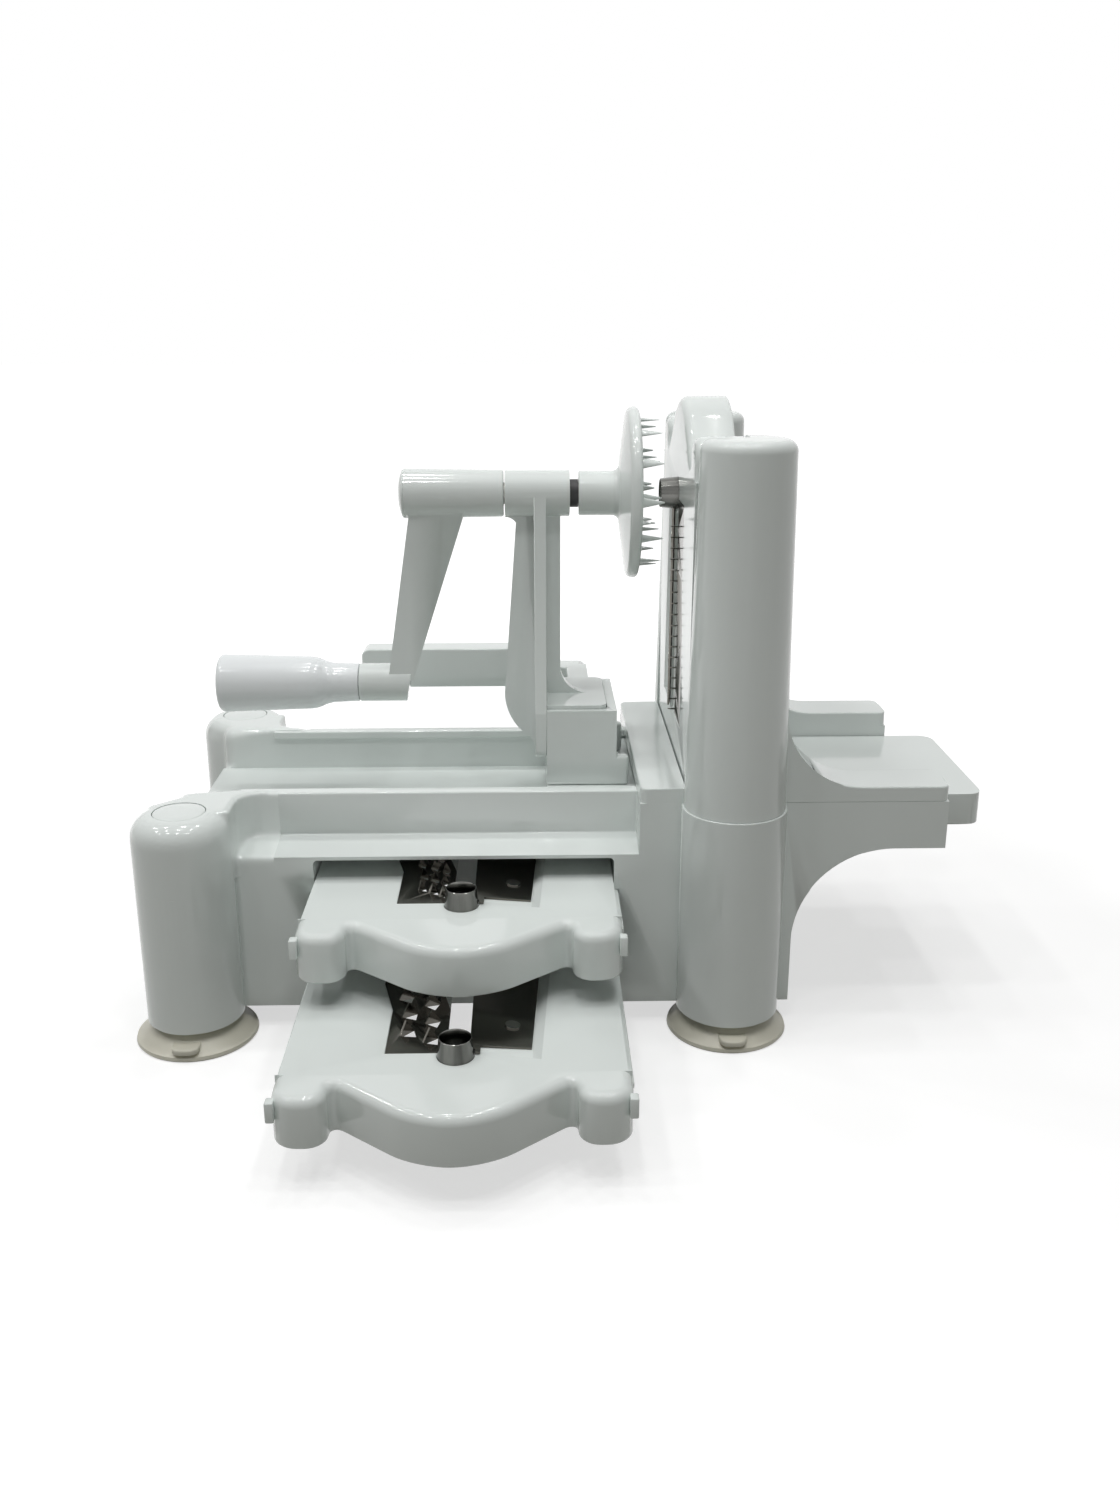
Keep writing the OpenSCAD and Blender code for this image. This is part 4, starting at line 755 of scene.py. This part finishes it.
def prongWheel(values):
    parts = [lathe(values, axisZ)]
    size = values["prong"]
    length, width, sunk = size["length"], size["width"], size["sunk"]
    for count, ringRadius, start in values["rings"]:
        for step in range(count):
            prong = bmesh.new()
            bmesh.ops.create_cone(prong, cap_ends=True, segments=size["sides"], radius1=width / 2 * mm,
                                  radius2=size["tip"] * mm, depth=(length + sunk) * mm)
            placed(prong, Matrix.Translation((0.0, 0.0, (length - sunk) / 2 * mm)))
            placed(prong, Matrix.Diagonal((size["thick"] / width, 1.0, 1.0, 1.0)))
            placed(prong, Matrix.Rotation(math.radians(90), 4, "Y"))
            turn = Matrix.Rotation(math.radians(start + step * 360.0 / count), 4, "X")
            placed(prong, Matrix.Translation((values["face"] * mm, 0.0, axisZ * mm)) @ turn
                   @ Matrix.Translation((0.0, 0.0, ringRadius * mm)))
            parts.append(prong)
    return joined(parts)


addPiece("prongWheel", prongWheel(wheelSet), wheelSet)
print("crank made")

# Blade plates, drawn face up with the coring ring at the origin: X across, Y to the tail
plateSet = {
    **white, "edge": 0.35, "edgeSteps": 2, "cut": -10.9,
    # corners of the wavy handle and how far along its sides each is rounded
    "corners": [(-58.0, -10.7), (-58.0, -26.0), (-40.2, -26.0), (-40.2, -13.2), (-11.2, -37.0),
                (11.2, -37.0), (40.2, -13.2), (40.2, -26.0), (58.0, -26.0), (58.0, -10.7)],
    "rounds": [0.0, 8.6, 7.0, 5.5, 11.0, 11.0, 5.5, 7.0, 8.6, 0.0],
    "handleDepth": 18.0, "topRound": 3.6, "lowRound": 0.9, "skirt": 2.4, "face": 2.6, "hollowBack": -12.9,
    # lowest and highest corner of what surrounds a whole plate
    "low": (-90.0, -60.0, -60.0), "high": (90.0, 0.0, 30.0),
    "tab": {"inside": 56.5, "side": 59.35, "front": -24.5, "back": -20.5, "top": -2.0, "low": -9.3,
            "round": 0.5},
}
ringSet = {
    "finish": "ringSteelPaintedReflection", "slot": "bright_steel", "sharp": 40.0,
    "profile": [(4.95, -3.0), (6.2, -3.0), (6.2, 0.6), (5.95, 3.4), (5.6, 6.9), (5.42, 7.0), (5.2, 6.6),
                (5.0, 3.0), (4.95, -3.0)],
}
sheetSet = {"finish": "bladeSteel", "slot": "blade_steel", "sharp": 25.0}
standing = Matrix(((0.0, 0.0, -1.0), (1.0, 0.0, 0.0), (0.0, -1.0, 0.0))).to_4x4()
plateSpots = {
    "comb": ("standing_plate_body", Matrix.Translation((44.0 * mm, 0.0, 200.3 * mm)) @ standing),
    "upper": ("upper_plate_body", Matrix.Translation((-40.2 * mm, -82.5 * mm, 62.0 * mm))),
    "lower": ("lower_plate_body", Matrix.Translation((-40.2 * mm, -139.5 * mm, 33.5 * mm))),
}


def wavyHandle(values):
    depth = values["handleDepth"]
    shape = outline(values["corners"], values["rounds"])
    hollow = shape.copy()
    rim = bmesh.ops.inset_region(hollow, faces=hollow.faces[:], thickness=values["skirt"] * mm,
                                 use_boundary=True)
    bmesh.ops.delete(hollow, geom=rim["faces"], context="FACES")
    placed(hollow, Matrix.Translation((0.0, 0.0, -values["face"] * mm)))
    thicken(hollow, depth)
    low, high = values["low"], values["high"]
    hollow = cutWith(hollow, boxShape((low[0], values["hollowBack"], low[2]), high))
    thicken(shape, depth)
    back = values["corners"][0][1] * mm
    front = [edge for edge in shape.edges if any(vert.co.y < back - 1e-6 for vert in edge.verts)]
    topRim = [edge for edge in front if all(vert.co.z > -0.01 * mm for vert in edge.verts)]
    lowRim = [edge for edge in front if all(vert.co.z < (0.01 - depth) * mm for vert in edge.verts)]
    roundEdges(shape, topRim, values["topRound"], 8)
    roundEdges(shape, [edge for edge in lowRim if edge.is_valid], values["lowRound"], 3)
    shape = cutWith(shape, hollow)
    tab = values["tab"]
    for side in (-1.0, 1.0):
        xs = sorted((side * tab["inside"], side * tab["side"]))
        block = boxShape((xs[0], tab["front"], tab["low"]), (xs[1], tab["back"], tab["top"]))
        roundEdges(block, block.edges[:], tab["round"], 2)
        shape = cutWith(shape, block, "UNION")
    return shape


def plateFrame(kind, values):
    body, spot = plateSpots[kind]
    frameShape = placed(meltedCopy(kind + "_plate"), spot.inverted())
    low, high = values["low"], values["high"]
    frameShape = cutWith(frameShape, boxShape(low, (high[0], values["cut"], high[2])))
    both = cutWith(frameShape, wavyHandle(values), "UNION")
    melt(both)
    return addPiece(kind + "PlateFrame", placed(both, spot),
                    {**values, "body": body, "stands": [kind + "_plate"]})


def coringRing(kind, values):
    body, spot = plateSpots[kind]
    return addPiece(kind + "CoringRing", placed(turned(values["profile"], 64), spot),
                    {**values, "body": body, "stands": [kind + "_ring"],
                     "finish": "sideRingSteelPaintedReflection" if kind == "comb" else "ringSteelPaintedReflection"})


for kind, (body, spot) in plateSpots.items():
    plateFrame(kind, plateSet)
    coringRing(kind, ringSet)
    addPiece(kind + "ToothedSheet", meltedCopy(kind + "_teeth"),
             {**sheetSet, "body": body, "stands": [kind + "_teeth"]})
    addPiece(kind + "FlatBlade", meltedCopy(kind + "_blade"),
             {**sheetSet, "body": body, "stands": [kind + "_blade"]})
print("blade plates made")
